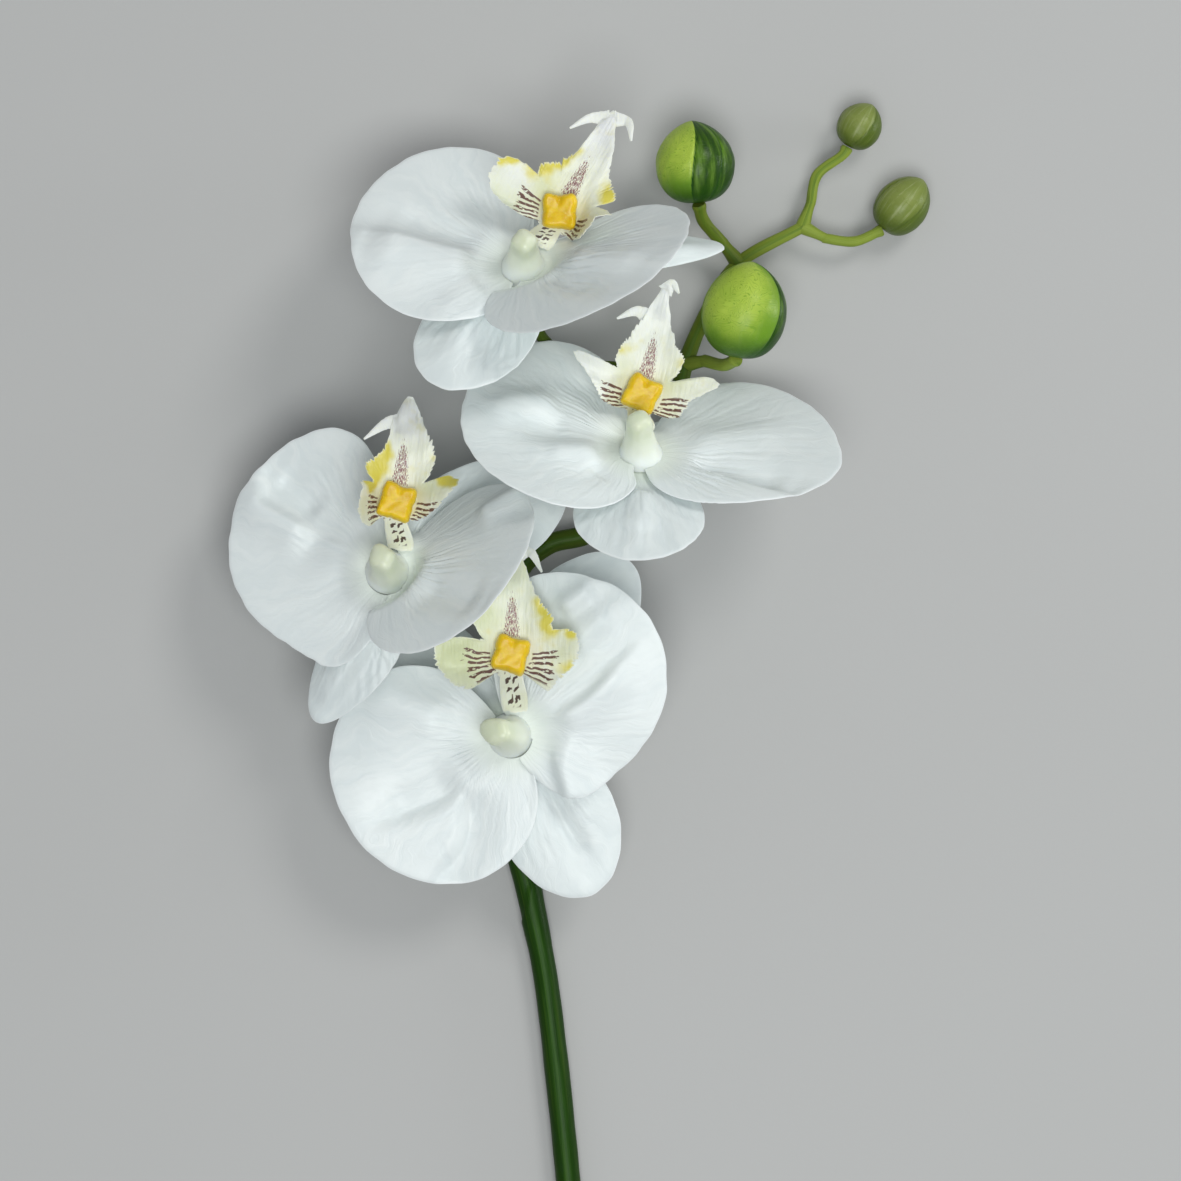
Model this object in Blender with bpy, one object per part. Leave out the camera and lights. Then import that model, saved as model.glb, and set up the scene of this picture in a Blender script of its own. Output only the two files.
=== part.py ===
"""A cut spray of a white moth orchid, lying face up on a table.

The spray has one stem, four open blooms, two large buds and two small ones. Every length is in
millimetres and every angle in degrees until a mesh is made. X runs to the right and Y along the
stem towards its tip, seen from above; Z is the height over the table.
"""
import math
from dataclasses import dataclass

import bmesh
import bpy
import numpy as np

MM = 0.001
TOUCH_GAP = 0.3

# Driving sizes of the flower
PETAL_LENGTH = 47.0
PETAL_HALF_WIDTH = 31.0
SIDE_SEPAL_LENGTH = 53.0
SEPAL_SPREAD = 57.0
PETAL_THICKNESS = 0.8
CLAW_RADIUS = 3.0
CLAW_ANGLE = 55.0
CLAW_FLAT = 6.0
CLAW_REACH = 8.0
CLAW_SPREAD = 2.2
PETAL_BACK = 9.0
SEPAL_BACK = 2.0
PEDICEL_REACH = 6.5
HEAD_REACH = 4.2
LOBE_ANGLE = math.radians(92)
LOBE_WIDTH = math.radians(20)
POINT_WIDTH = math.radians(9)
FRONT_LAYER = 1.2
SEPAL_LAYER = -1.5
LIP_LENGTH = 28.0
LIP_THICKNESS = 0.8
COLUMN_LENGTH = 13.0
COLUMN_RADIUS = 2.8
COLUMN_FOOT_RADIUS = 5.8
HEAD_RADIUS = 2.4
HEAD_HEIGHT = 1.6
FOOT_HEIGHT = 3.0
RIM_END = CLAW_FLAT + 0.8
RIM_SQUARENESS = 7
LIP_FLAT = 3.0
LIP_BEND = 3.5
LOBE_START = 2.0
LOBE_BLEND = 7.0
STRIP_LENGTH = 13.5
STRIP_START = 3.0
LIP_STRIP = ((153, 6.6), (165, STRIP_LENGTH), (180, STRIP_LENGTH))

# Driving sizes of the stem
STEM_FOOT_RADIUS = 3.6
STEM_FLOWER_RADIUS = 2.6
STEM_TIP_RADIUS = 1.7
STALK_RADIUS = 1.35
PEDICEL_RADIUS = 1.6
STUB_RADIUS = 1.9
STUB_LENGTH = 7.0

# The middle of the spray's footprint, which becomes its origin
ORIGIN = np.array([-2.3, -85.1, 0.0])


def vec(*values):
    return np.array(values, dtype=float)


def unit(vector):
    return vector / np.linalg.norm(vector)


def smooth_step(value):
    value = np.clip(value, 0.0, 1.0)
    return value * value * (3.0 - 2.0 * value)


def blend(first, second, share):
    return first + (second - first) * share


@dataclass
class Tepal:
    """One petal or sepal. It points along heading and is seen from the bloom's face."""

    name: str
    heading: float
    length: float = PETAL_LENGTH
    left: float = PETAL_HALF_WIDTH
    right: float = PETAL_HALF_WIDTH
    spread_left: float = SEPAL_SPREAD
    spread_right: float = SEPAL_SPREAD
    rise: float = 0.0
    roll: float = 0.0
    curl: float = -2.5
    cup_left: float = -1.5
    cup_right: float = -1.5
    point: float = 0.0
    lobe_left: float = 0.0
    lobe_right: float = 0.0
    layer: float = 0.0

    @property
    def is_petal(self):
        return self.name.startswith("petal")

    @property
    def back(self):
        return PETAL_BACK if self.is_petal else SEPAL_BACK

    @property
    def depth(self):
        return self.layer if self.is_petal else SEPAL_LAYER


@dataclass
class Lip:
    """The lip: a sheet round its callus, with a middle lobe, two wings and a foot strip.

    Each side's outline is given by its angle from the lip's heading and its distance from the
    callus: the middle lobe's edge and corner, the notch, then the wing.
    """

    place: float
    heading: float
    reach: float
    height: float
    foot: float
    length: float
    left: tuple
    right: tuple
    hooks: tuple
    fold_left: float = 30.0
    fold_right: float = 30.0
    lobe_fold: float = 12.0
    arch: float = 2.0
    callus_turn: float = 0.0


@dataclass
class Bloom:
    name: str
    centre: tuple
    lean: float
    tepals: tuple
    lip: Lip
    column_heading: float
    column_bend: float
    root: int
    pedicel: tuple


@dataclass
class Bud:
    """A closed bud and the stalk that carries it, from a point on the stem's route."""

    name: str
    base: tuple
    tip: tuple
    radius: float
    root: int
    stalk: tuple
    stalk_radius: float
    seam_turn: float = 0.0


def face_frame(bloom, heading):
    """The bloom's face at a heading: along, to the left, and out of the face."""
    out = unit(vec(0.0, math.tan(math.radians(bloom.lean)), 1.0))
    cos, sin = math.cos(math.radians(heading)), math.sin(math.radians(heading))
    along = unit(vec(cos, sin, -out[1] * sin / out[2]))
    return along, np.cross(out, along), out


def turned(first, second, angle):
    """Two square directions turned in their plane, the first towards the second."""
    cos, sin = math.cos(math.radians(angle)), math.sin(math.radians(angle))
    return first * cos + second * sin, second * cos - first * sin


def pose(heading, rise, roll):
    """Along a heading that rises from the table, to its left, and out of the face."""
    cos, sin = math.cos(math.radians(heading)), math.sin(math.radians(heading))
    along, out = turned(vec(cos, sin, 0.0), vec(0.0, 0.0, 1.0), rise)
    left, out = turned(vec(-sin, cos, 0.0), out, roll)
    return along, left, out


def rim_radius(tepal, phi):
    """How far the rim is from the bloom's axis, on an ellipse that holds the axis near its end."""
    half = (tepal.length + tepal.back) / 2
    centre = tepal.length - half
    side = np.where(phi > 0, tepal.left, tepal.right)
    cos, sin = np.cos(phi), np.sin(phi)
    root = np.sqrt((side * cos) ** 2 + (half**2 - centre**2) * sin**2)
    radius = (centre * side**2 * cos + half * side * root) / ((side * cos) ** 2 + (half * sin) ** 2)
    lobe = np.where(phi > 0, tepal.lobe_left, tepal.lobe_right)
    radius += lobe * np.exp(-(((np.abs(phi) - LOBE_ANGLE) / LOBE_WIDTH) ** 2))
    return radius + tepal.point * np.exp(-((phi / POINT_WIDTH) ** 2))


def tepal_heights(tepal, x, y):
    """How far the tepal stands out of its own flat plane."""
    side = np.where(y > 0, tepal.left, tepal.right)
    cup = np.where(y > 0, tepal.cup_left, tepal.cup_right)
    reach = x / tepal.length
    return tepal.curl * reach * np.abs(reach) + cup * (y / side) ** 2


def rim_shares(tepal, spokes):
    """Where the spokes meet the rim, at even steps along it."""
    share = np.linspace(-1, 1, 201)
    phi, radius = rim_outline(tepal, share)
    x, y = radius * np.cos(phi), radius * np.sin(phi)
    travelled = np.concatenate([[0.0], np.cumsum(np.hypot(np.diff(x), np.diff(y)))])
    return np.interp(np.linspace(0, travelled[-1], spokes + 1), travelled, share)


def rim_outline(tepal, share):
    """The rim's angle and radius, rounded back to the claw at both ends."""
    phi = np.radians(share * np.where(share > 0, tepal.spread_left, tepal.spread_right))
    radius = RIM_END + (rim_radius(tepal, phi) - RIM_END) * np.sqrt(1 - np.abs(share) ** RIM_SQUARENESS)
    return phi, radius


def tepal_points(bloom, tepal, spokes, rings):
    """The tepal's middle surface as a grid of rings from the claw to the rim."""
    along, left, out = face_frame(bloom, tepal.heading)
    tip, side, face = pose(tepal.heading, tepal.rise, tepal.roll)
    share = rim_shares(tepal, spokes)
    rim_phi, rim = rim_outline(tepal, share)
    claw_right, claw_left = min(CLAW_ANGLE, tepal.spread_right), min(CLAW_ANGLE, tepal.spread_left)
    claw = np.radians(np.linspace(-claw_right, claw_left, spokes + 1))
    grid = []
    for ring in np.linspace(-1 / (rings - 1), 1, rings + 1):
        phi = blend(claw, rim_phi, smooth_step(ring * CLAW_SPREAD))
        radius = blend(CLAW_FLAT, rim, ring) if ring >= 0 else np.full(spokes + 1, CLAW_RADIUS)
        x, y = radius * np.cos(phi), radius * np.sin(phi)
        height = tepal_heights(tepal, x, y)
        flat = np.outer(x, along) + np.outer(y, left)
        posed = np.outer(x, tip) + np.outer(y, side) + np.outer(height, face)
        held = smooth_step((radius - CLAW_FLAT) / CLAW_REACH)[:, None]
        grid.append(np.array(bloom.centre) + tepal.depth * out + blend(flat, posed, held))
    return np.concatenate(grid)


def lip_rim(lip, angles):
    """How far the lip's rim is from the callus at each angle from the lip's heading."""
    reach = []
    for angle in angles:
        side = lip.left if angle > 0 else lip.right
        stops, radii = zip((0, lip.length), *side, *LIP_STRIP)
        reach.append(np.interp(abs(angle), stops, radii))
    return np.array(reach)


def lip_bend(lip, x, y):
    """The lip's sheet folded up along its two sides and arched along its length."""
    lobe = smooth_step((x - LOBE_START) / LOBE_BLEND)
    fold = np.where(y > 0, lip.fold_left, lip.fold_right)
    angle = np.radians(blend(fold, lip.lobe_fold, lobe))
    past = np.maximum(np.abs(y) - LIP_FLAT, 0.0)
    bent = np.minimum(past / LIP_BEND, angle)
    straight = np.maximum(past - LIP_BEND * angle, 0.0)
    across = np.minimum(np.abs(y), LIP_FLAT) + LIP_BEND * np.sin(bent) + straight * np.cos(angle)
    height = LIP_BEND * (1 - np.cos(bent)) + straight * np.sin(angle)
    reach = np.clip(x / LIP_LENGTH, 0, 1.1)
    return x, np.sign(y) * across, height + lip.arch * np.sin(math.pi * reach)


def lip_frame(bloom):
    """The callus's place and the lip's own directions: forward, left and up."""
    lip = bloom.lip
    toward, _, out = face_frame(bloom, lip.place)
    root = np.array(bloom.centre) + lip.reach * toward + lip.height * out
    toward, _, _ = face_frame(bloom, lip.foot)
    foot = np.array(bloom.centre) + (COLUMN_FOOT_RADIUS + 0.6) * toward + FOOT_HEIGHT * out
    return root, np.array(pose(lip.heading, 0.0, 0.0)), foot


def lip_place(bloom, x, y, above=0.0):
    """Where points of the flat lip lie in the bloom; its strip runs back to the column's foot."""
    root, frame, foot = lip_frame(bloom)
    bent = np.stack(lip_bend(bloom.lip, np.asarray(x, float), np.asarray(y, float)), axis=-1)
    bent[..., 2] += above
    places = root + bent @ frame
    end = root - STRIP_LENGTH * frame[0]
    share = smooth_step((-np.asarray(x, float) - STRIP_START) / (STRIP_LENGTH - STRIP_START))
    return places + share[..., None] * (foot - end)


def lip_points(bloom, spokes, rings):
    """The lip's middle surface: the callus's place, then rings out to the rim."""
    angles = np.arange(spokes) * 360 / spokes - 180
    rim = lip_rim(bloom.lip, angles)
    phi = np.radians(angles)
    points = [lip_place(bloom, [0.0], [0.0])]
    for ring in np.linspace(0, 1, rings + 1)[1:]:
        points.append(lip_place(bloom, ring * rim * np.cos(phi), ring * rim * np.sin(phi)))
    return np.concatenate(points)


def grid_faces(rows, columns):
    """Triangles of a grid of rows and columns, and its border in order."""
    faces = []
    for row in range(rows - 1):
        for column in range(columns - 1):
            a = row * columns + column
            faces += [(a, a + columns, a + columns + 1), (a, a + columns + 1, a + 1)]
    border = list(range(columns))
    border += [row * columns + columns - 1 for row in range(1, rows)]
    border += [(rows - 1) * columns + column for column in range(columns - 2, -1, -1)]
    border += [row * columns for row in range(rows - 2, 0, -1)]
    return faces, border


def disc_faces(rings, spokes):
    """Triangles of a disc of rings round one middle point, and its border in order."""
    faces = [(0, 1 + spoke, 1 + (spoke + 1) % spokes) for spoke in range(spokes)]
    for ring in range(rings - 1):
        for spoke in range(spokes):
            a = 1 + ring * spokes + spoke
            b = 1 + ring * spokes + (spoke + 1) % spokes
            faces += [(a, a + spokes, b + spokes), (a, b + spokes, b)]
    return faces, [1 + (rings - 1) * spokes + spoke for spoke in range(spokes)]


def point_normals(points, faces):
    """The direction out of the surface at each point."""
    corners = np.array(faces)
    a, b, c = (points[corners[:, corner]] for corner in range(3))
    normals = np.zeros_like(points)
    for corner in range(3):
        np.add.at(normals, corners[:, corner], np.cross(b - a, c - a))
    return normals / np.linalg.norm(normals, axis=1, keepdims=True)


def shell_mesh(name, upper, lower, faces, border):
    """A closed solid between two surfaces that are split alike, with walls round the border."""
    under = len(upper)
    solid = list(faces)
    solid += [tuple(under + corner for corner in reversed(face)) for face in faces]
    for first, second in zip(border, border[1:] + border[:1]):
        solid += [(second, first, under + first), (second, under + first, under + second)]
    return mesh_of(name, np.concatenate([upper, lower]), solid)


def sheet_mesh(name, points, faces, border, thickness):
    """A thin closed solid with the same thickness all over."""
    offset = point_normals(points, faces) * thickness / 2
    return shell_mesh(name, points + offset, points - offset, faces, border)


def mesh_of(name, points, faces):
    """A Blender mesh in metres, no lower than the table, with its faces pointing out."""
    points = (np.asarray(points) - ORIGIN) * MM
    points[:, 2] = np.maximum(points[:, 2], 0.0)
    mesh = bpy.data.meshes.new(name)
    mesh.from_pydata(points.tolist(), [], faces)
    build = bmesh.new()
    build.from_mesh(mesh)
    bmesh.ops.recalc_face_normals(build, faces=build.faces)
    build.to_mesh(mesh)
    build.free()
    mesh.shade_smooth()
    mesh.set_sharp_from_angle(angle=math.radians(50))
    return mesh


def add_object(name, data, finish):
    data.materials.append(finish)
    part = bpy.data.objects.new(name, data)
    bpy.context.collection.objects.link(part)
    return part


def material(name, colour, roughness):
    finish = bpy.data.materials.new(name)
    finish.use_nodes = True
    shader = finish.node_tree.nodes["Principled BSDF"]
    shader.inputs["Base Color"].default_value = (*colour, 1.0)
    shader.inputs["Roughness"].default_value = roughness
    shader.inputs["Metallic"].default_value = 0.0
    return finish


def smooth_path(points, spacing):
    """Points every spacing along a smooth curve through the given ones."""
    points = [np.array(point, dtype=float) for point in points]
    first = 2 * points[0] - points[1]
    last = 2 * points[-1] - points[-2]
    posts = [first, *points, last]
    dense = []
    for a, b, c, d in zip(posts, posts[1:], posts[2:], posts[3:]):
        for t in np.linspace(0, 1, 24, endpoint=False):
            dense.append(
                0.5 * (2 * b + (c - a) * t + (2 * a - 5 * b + 4 * c - d) * t**2
                       + (3 * b - a - 3 * c + d) * t**3)
            )
    dense.append(points[-1])
    dense = np.array(dense)
    travelled = np.concatenate([[0.0], np.cumsum(np.linalg.norm(np.diff(dense, axis=0), axis=1))])
    count = max(2, round(travelled[-1] / spacing))
    stops = np.linspace(0, travelled[-1], count + 1)
    return np.stack([np.interp(stops, travelled, dense[:, axis]) for axis in range(3)], axis=1)


def part_of_path(path, start, end):
    """The stretch of a path between two distances along it."""
    travelled = np.concatenate([[0.0], np.cumsum(np.linalg.norm(np.diff(path, axis=0), axis=1))])
    inner = travelled[(travelled > start + 0.4) & (travelled < end - 0.4)]
    stops = np.concatenate([[start], inner, [end]])
    return np.stack([np.interp(stops, travelled, path[:, axis]) for axis in range(3)], axis=1)


def path_length(path):
    return float(np.linalg.norm(np.diff(path, axis=0), axis=1).sum())


def rod(name, path, radii, finish, resolution=3):
    """A round rod along a path, with a radius at each point and flat closed ends."""
    curve = bpy.data.curves.new(name, "CURVE")
    curve.dimensions = "3D"
    curve.bevel_depth = MM
    curve.bevel_resolution = resolution
    curve.use_fill_caps = True
    spline = curve.splines.new("POLY")
    spline.points.add(len(path) - 1)
    for point, place, radius in zip(spline.points, path, radii):
        point.co = (*((place - ORIGIN) * MM), 1.0)
        point.radius = radius
    return add_object(name, curve, finish)


def mesh_from(part):
    """The object's shape with its curve or its modifiers worked out, as a mesh of its own."""
    bpy.context.view_layer.update()
    shape = part.evaluated_get(bpy.context.evaluated_depsgraph_get())
    return bpy.data.meshes.new_from_object(shape)


def fuse(name, parts, finish):
    """One closed body from overlapping rods or sheets."""
    base, *others = [add_object(f"{part.name}_body", mesh_from(part), finish) for part in parts]
    group = bpy.data.collections.new(f"{name}_pieces")
    for other in others:
        group.objects.link(other)
    union = base.modifiers.new("Union", "BOOLEAN")
    union.operation = "UNION"
    union.operand_type = "COLLECTION"
    union.collection = group
    union.solver = "EXACT"
    mesh = mesh_from(base)
    for part in (*parts, base, *others):
        bpy.data.objects.remove(part)
    bpy.data.collections.remove(group)
    mesh.name = name
    mesh.materials.clear()
    mesh.shade_smooth()
    mesh.set_sharp_from_angle(angle=math.radians(50))
    return mesh


def flatten_on_table(mesh):
    """Cuts off what reaches below the table, which leaves a narrow flat to rest on."""
    build = bmesh.new()
    build.from_mesh(mesh)
    whole = build.verts[:] + build.edges[:] + build.faces[:]
    cut = bmesh.ops.bisect_plane(
        build, geom=whole, dist=1e-7, plane_co=(0, 0, 0), plane_no=(0, 0, 1), clear_inner=True
    )
    edges = [item for item in cut["geom_cut"] if isinstance(item, bmesh.types.BMEdge)]
    bmesh.ops.contextual_create(build, geom=edges)
    bmesh.ops.recalc_face_normals(build, faces=build.faces)
    build.to_mesh(mesh)
    build.free()


# The stem, from its cut foot to the fork at its tip
STEM_ROUTE = (
    (2.6, -303.0, 3.4),
    (2.0, -265.0, 3.4),
    (-0.1, -226.0, 3.4),
    (-3.4, -191.0, 3.4),
    (-6.1, -161.2, 3.4),
    (-8.9, -133.6, 3.4),
    (-12.4, -105.0, 3.4),
    (-17.1, -81.8, 3.5),
    (-19.8, -70.8, 3.6),
    (-22.5, -51.7, 4.2),
    (-23.9, -29.9, 5.0),
    (-23.3, -10.8, 5.8),
    (-20.1, 4.2, 6.4),
    (-11.6, 12.4, 6.8),
    (-0.1, 15.7, 7.2),
    (12.1, 24.7, 7.6),
    (21.2, 42.5, 8.0),
    (25.8, 61.6, 8.2),
    (32.1, 76.6, 8.2),
    (40.3, 89.1, 8.0),
    (57.7, 99.0, 7.6),
)
STEM_RADII = (
    (0.0, STEM_FOOT_RADIUS),
    (232.0, STEM_FOOT_RADIUS - 0.3),
    (345.0, STEM_FLOWER_RADIUS),
    (395.0, 2.1),
    (425.0, STEM_TIP_RADIUS),
    (450.0, STEM_TIP_RADIUS - 0.1),
)
STEM_SPACING = 9.0
SHEATH_LENGTH = 14.0
SHEATH_REACHES = (98.0, 228.0)


def stem_radius(distance):
    stops, radii = zip(*STEM_RADII)
    return np.interp(distance, stops, radii)


def branch_paths(route, stub):
    """A side branch's own stub on the stem, and the stalk that goes on from it."""
    path = smooth_path(route, 3.0)
    return part_of_path(path, 0.0, stub), part_of_path(path, stub + TOUCH_GAP, path_length(path))


def make_stem(branches, finish):
    """Stem, node sheaths and the stubs of every side branch, fused into one body."""
    path = smooth_path(STEM_ROUTE, STEM_SPACING)
    length = path_length(path)
    reaches = np.linspace(0, length, len(path))
    pieces = [rod("stem_rod", path, [stem_radius(reach) for reach in reaches], finish)]
    for number, reach in enumerate(SHEATH_REACHES):
        ring = part_of_path(path, reach - SHEATH_LENGTH, reach)
        swell = np.interp(np.linspace(0, 1, len(ring)), (0, 0.15, 0.8, 1), (-0.2, 0.35, 0.75, 0.3))
        radii = [stem_radius(reach) + step for step in swell]
        pieces.append(rod(f"sheath_{number}", ring, radii, finish))
    for name, stub in branches:
        radii = np.linspace(STUB_RADIUS + 0.3, STUB_RADIUS, len(stub))
        pieces.append(rod(f"{name}_stub", stub, radii, finish, resolution=2))
    mesh = fuse("stem", pieces, finish)
    flatten_on_table(mesh)
    return add_object("stem", mesh, finish)


# The four blooms, top to bottom
BLOOMS = (
    Bloom(
        name="bloom_1",
        centre=(-17.6, 85.2, 44.0),
        lean=40.0,
        tepals=(
            Tepal("petal_left", 150.5, 47.5, 33, 35, spread_left=100, spread_right=72, rise=-8, roll=38),
            Tepal("petal_right", -4.5, 49.5, 33.5, 29, spread_left=76, spread_right=92, rise=47, roll=-51,
                  layer=FRONT_LAYER),
            Tepal("sepal_dorsal", 232, 43.5, 15, 15, rise=31, roll=18),
            Tepal("sepal_left", 120, SIDE_SEPAL_LENGTH, 15, 15, spread_right=50, rise=-50.7, roll=10),
            Tepal("sepal_right", 9.5, 49.5, 13.5, 5, spread_left=45, rise=-6, roll=-50, point=4.5),
        ),
        lip=Lip(place=45.0, heading=61.0, reach=15.5, height=8.5, foot=50.0, length=30.5,
                left=((7, 22.5), (10, 18), (15, 15.3), (31, 12.6), (50, 14), (57, 12.5), (60, 10.5),
                      (64, 15), (71, 19.5), (80, 22), (90, 22.5), (100, 20.5), (109, 17), (121, 12),
                      (140, 6.5)),
                right=((7, 25), (18, 18.3), (27, 15.8), (39, 15.4), (50, 15.8), (57, 9.5), (64, 14),
                       (74, 17), (88, 17.5), (104, 15), (120, 11), (138, 6.5)),
                hooks=(((28.0, 0.5), (25.5, 5.0), (20.5, 8.4)),
                       ((28.5, -0.5), (29.5, -4.5), (25.5, -7.6))),
                fold_left=22.0, fold_right=72.0),
        column_heading=97,
        column_bend=-20,
        root=17,
        pedicel=((12.0, 60.5, 10.5), (-3.0, 62.0, 11.5), (-12.5, 67.5, 20.0), (-16.8, 76.0, 31.0)),
    ),
    Bloom(
        name="bloom_2",
        centre=(13.1, 36.0, 43.0),
        lean=48.0,
        tepals=(
            Tepal("petal_left", 159, 48.5, 33.5, 33, spread_left=104, spread_right=70, roll=43, cup_left=4,
                  layer=FRONT_LAYER),
            Tepal("petal_right", 1, 53.5, 38.5, 20.5, spread_left=72, spread_right=80, roll=-53),
            Tepal("sepal_dorsal", -92, 38.5, 18, 18, rise=49),
            Tepal("sepal_left", 150, SIDE_SEPAL_LENGTH, 14, 14, spread_right=52, rise=-49.5, roll=25),
            Tepal("sepal_right", 8, SIDE_SEPAL_LENGTH, 15, 12, spread_right=44, rise=-48.7, roll=-42),
        ),
        lip=Lip(place=87.0, heading=77.3, reach=14.0, height=9.0, foot=87.0, length=30.0,
                left=((7, 23.5), (13, 19.6), (25, 15.6), (42, 13.2), (52, 11), (58, 9.5), (64, 15.5),
                      (70, 22.5), (76, 21), (86, 16.5), (97, 13.5), (108, 12), (126, 9), (142, 6)),
                right=((4.5, 24), (11, 19), (22, 15.8), (37, 14.6), (46, 12.5), (51, 9.5), (56, 8),
                       (61, 15.5), (66, 20.5), (72, 21.5), (78, 17), (86, 13), (98, 12.3),
                       (111, 11.8), (127, 8.5), (142, 5.5)),
                hooks=(((20.5, 3.0), (21.0, 6.5), (18.0, 11.0)),
                       ((28.0, 0.0), (30.5, -1.5), (28.3, -3.8))),
                fold_left=35.0, fold_right=15.0, callus_turn=-15.0),
        column_heading=75,
        column_bend=-14,
        root=14,
        pedicel=((6.0, 20.0, 17.0), (10.5, 25.0, 27.0)),
    ),
    Bloom(
        name="bloom_3",
        centre=(-53.8, 5.0, 38.0),
        lean=5.0,
        tepals=(
            Tepal("petal_left", 151, 46.8, 29.5, 32, spread_left=121, spread_right=59, rise=-14,
                  lobe_left=8.5),
            Tepal("petal_right", 7, 48, 30, 28, spread_left=70, spread_right=95, rise=43, roll=-42,
                  layer=FRONT_LAYER),
            Tepal("sepal_dorsal", -117, 40.5, 12.5, 8.5, spread_right=43, rise=-6, roll=15, point=4.5),
            Tepal("sepal_left", 138, SIDE_SEPAL_LENGTH, 16, 16, spread_right=50, rise=-40.3),
            Tepal("sepal_right", 27, 54, 17, 14, spread_left=52, rise=-12),
        ),
        lip=Lip(place=81.0, heading=83.0, reach=18.0, height=8.0, foot=58.0, length=28.0,
                left=((10, 22), (13, 17.5), (21, 14), (38, 13), (49, 13.2), (56, 11), (62, 8.5),
                      (72, 14), (86, 18.6), (100, 19.6), (115, 17.1), (130, 11.4), (142, 5.5)),
                right=((5, 26), (13, 21), (29, 16.9), (39, 14), (47, 9.5), (51, 9), (55, 15),
                       (65, 18), (77, 16), (91, 12.5), (111, 9), (128, 7), (142, 5.5)),
                hooks=(((21.0, 2.0), (20.0, 5.5), (15.3, 10.8)),),
                fold_left=75.0, fold_right=40.0, callus_turn=-20.0),
        column_heading=110,
        column_bend=20,
        root=12,
        pedicel=((-34.0, 6.0, 14.0), (-46.0, 6.5, 23.0)),
    ),
    Bloom(
        name="bloom_4",
        centre=(-21.5, -38.8, 28.0),
        lean=0.0,
        tepals=(
            Tepal("petal_left", 202, 50, 33, 29.5, spread_left=102, spread_right=74),
            Tepal("petal_right", 47.5, 49.5, 29, 28, spread_left=58, spread_right=114, rise=12,
                  lobe_right=6.5, layer=FRONT_LAYER),
            Tepal("sepal_dorsal", -62.5, 49, 17, 16, rise=-6),
            Tepal("sepal_left", 141, 49, 15, 15, spread_right=36, rise=-20),
            Tepal("sepal_right", 56.5, 57.5, 18, 14.5, spread_left=40, rise=-7),
        ),
        lip=Lip(place=89.0, heading=88.4, reach=22.0, height=10.5, foot=78.0, length=29.0,
                left=((8, 24), (13, 20), (24, 16), (38, 15), (50, 14), (60, 9.5), (66, 8.5), (74, 15),
                      (84, 20.8), (97, 21), (112, 18.6), (126, 14.8), (133, 9), (142, 6)),
                right=((6, 25), (11, 21), (20, 17.5), (34, 15.5), (50, 14.8), (56, 12.5), (60, 13.5),
                       (67, 17.8), (77, 19), (91, 18.5), (106, 16), (117, 13.6), (132, 13.3),
                       (137, 9), (144, 6)),
                hooks=(((26.0, -0.5), (27.0, -4.5), (21.9, -7.7)),),
                fold_left=15.0, fold_right=15.0, callus_turn=-30.0),
        column_heading=155,
        column_bend=26,
        root=11,
        pedicel=((-27.5, -20.0, 12.0), (-23.5, -32.0, 17.0)),
    ),
)

# The four buds: two large, two small at the tips of the fork
BUDS = (
    Bud("bud_large_upper", (29.2, 104.8, 16.0), (27.2, 126.8, 18.0), 10.8, 19,
        ((35.8, 94.6, 9.0), (31.2, 99.5, 12.5)), STALK_RADIUS + 0.3, 20),
    Bud("bud_large_lower", (39.4, 62.5, 24.0), (43.4, 88.2, 26.0), 11.5, 17,
        ((29.8, 62.6, 11.0), (33.8, 61.2, 16.0), (37.4, 60.6, 20.5)), STALK_RADIUS + 0.3, 50),
    Bud("bud_small_upper", (70.1, 121.0, 7.5), (76.7, 132.2, 8.0), 6.1, 20,
        ((59.9, 105.0, 7.6), (61.4, 112.5, 7.5), (66.0, 118.0, 7.5)), STALK_RADIUS, 0),
    Bud("bud_small_lower", (79.6, 98.4, 7.3), (90.6, 111.8, 7.5), 7.2, 20,
        ((64.0, 95.8, 7.6), (71.0, 95.0, 7.6), (77.2, 95.9, 7.5)), STALK_RADIUS, 0),
)

PETAL_SPOKES, PETAL_RINGS = 16, 7
SEPAL_SPOKES, SEPAL_RINGS = 10, 5
LIP_SPOKES, LIP_RINGS = 36, 4
HOOK_RADIUS = 1.3
HOOK_TIP_RADIUS = 0.35
CALLUS_RINGS, CALLUS_SPOKES = 3, 16
CALLUS_HEIGHT = 3.6
CALLUS_GAP = 1.25
CALLUS_UNDERSIDE = 0.85
CALLUS_SHOULDER = 0.75
CALLUS_RIM = ((0, 4.2), (42, 6.2), (90, 4.4), (138, 6.0), (180, 4.4))
COLUMN_SEAT = 2.0
COLUMN_PROFILE = (
    (0.0, COLUMN_FOOT_RADIUS - 0.5),
    (0.5, COLUMN_FOOT_RADIUS),
    (1.5, COLUMN_FOOT_RADIUS - 0.5),
    (3.4, COLUMN_RADIUS + 1.4),
    (6.0, COLUMN_RADIUS + 0.4),
    (9.5, COLUMN_RADIUS + 0.1),
    (12.2, COLUMN_RADIUS + 0.4),
    (13.7, COLUMN_RADIUS),
    (COLUMN_LENGTH, COLUMN_RADIUS - 1.1),
)
BUD_SEAM_DEPTH = 0.07
BUD_BLUNTNESS = 0.8
BUD_TAPER = 0.45
BUD_LOW_BULGE = 0.08


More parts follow.
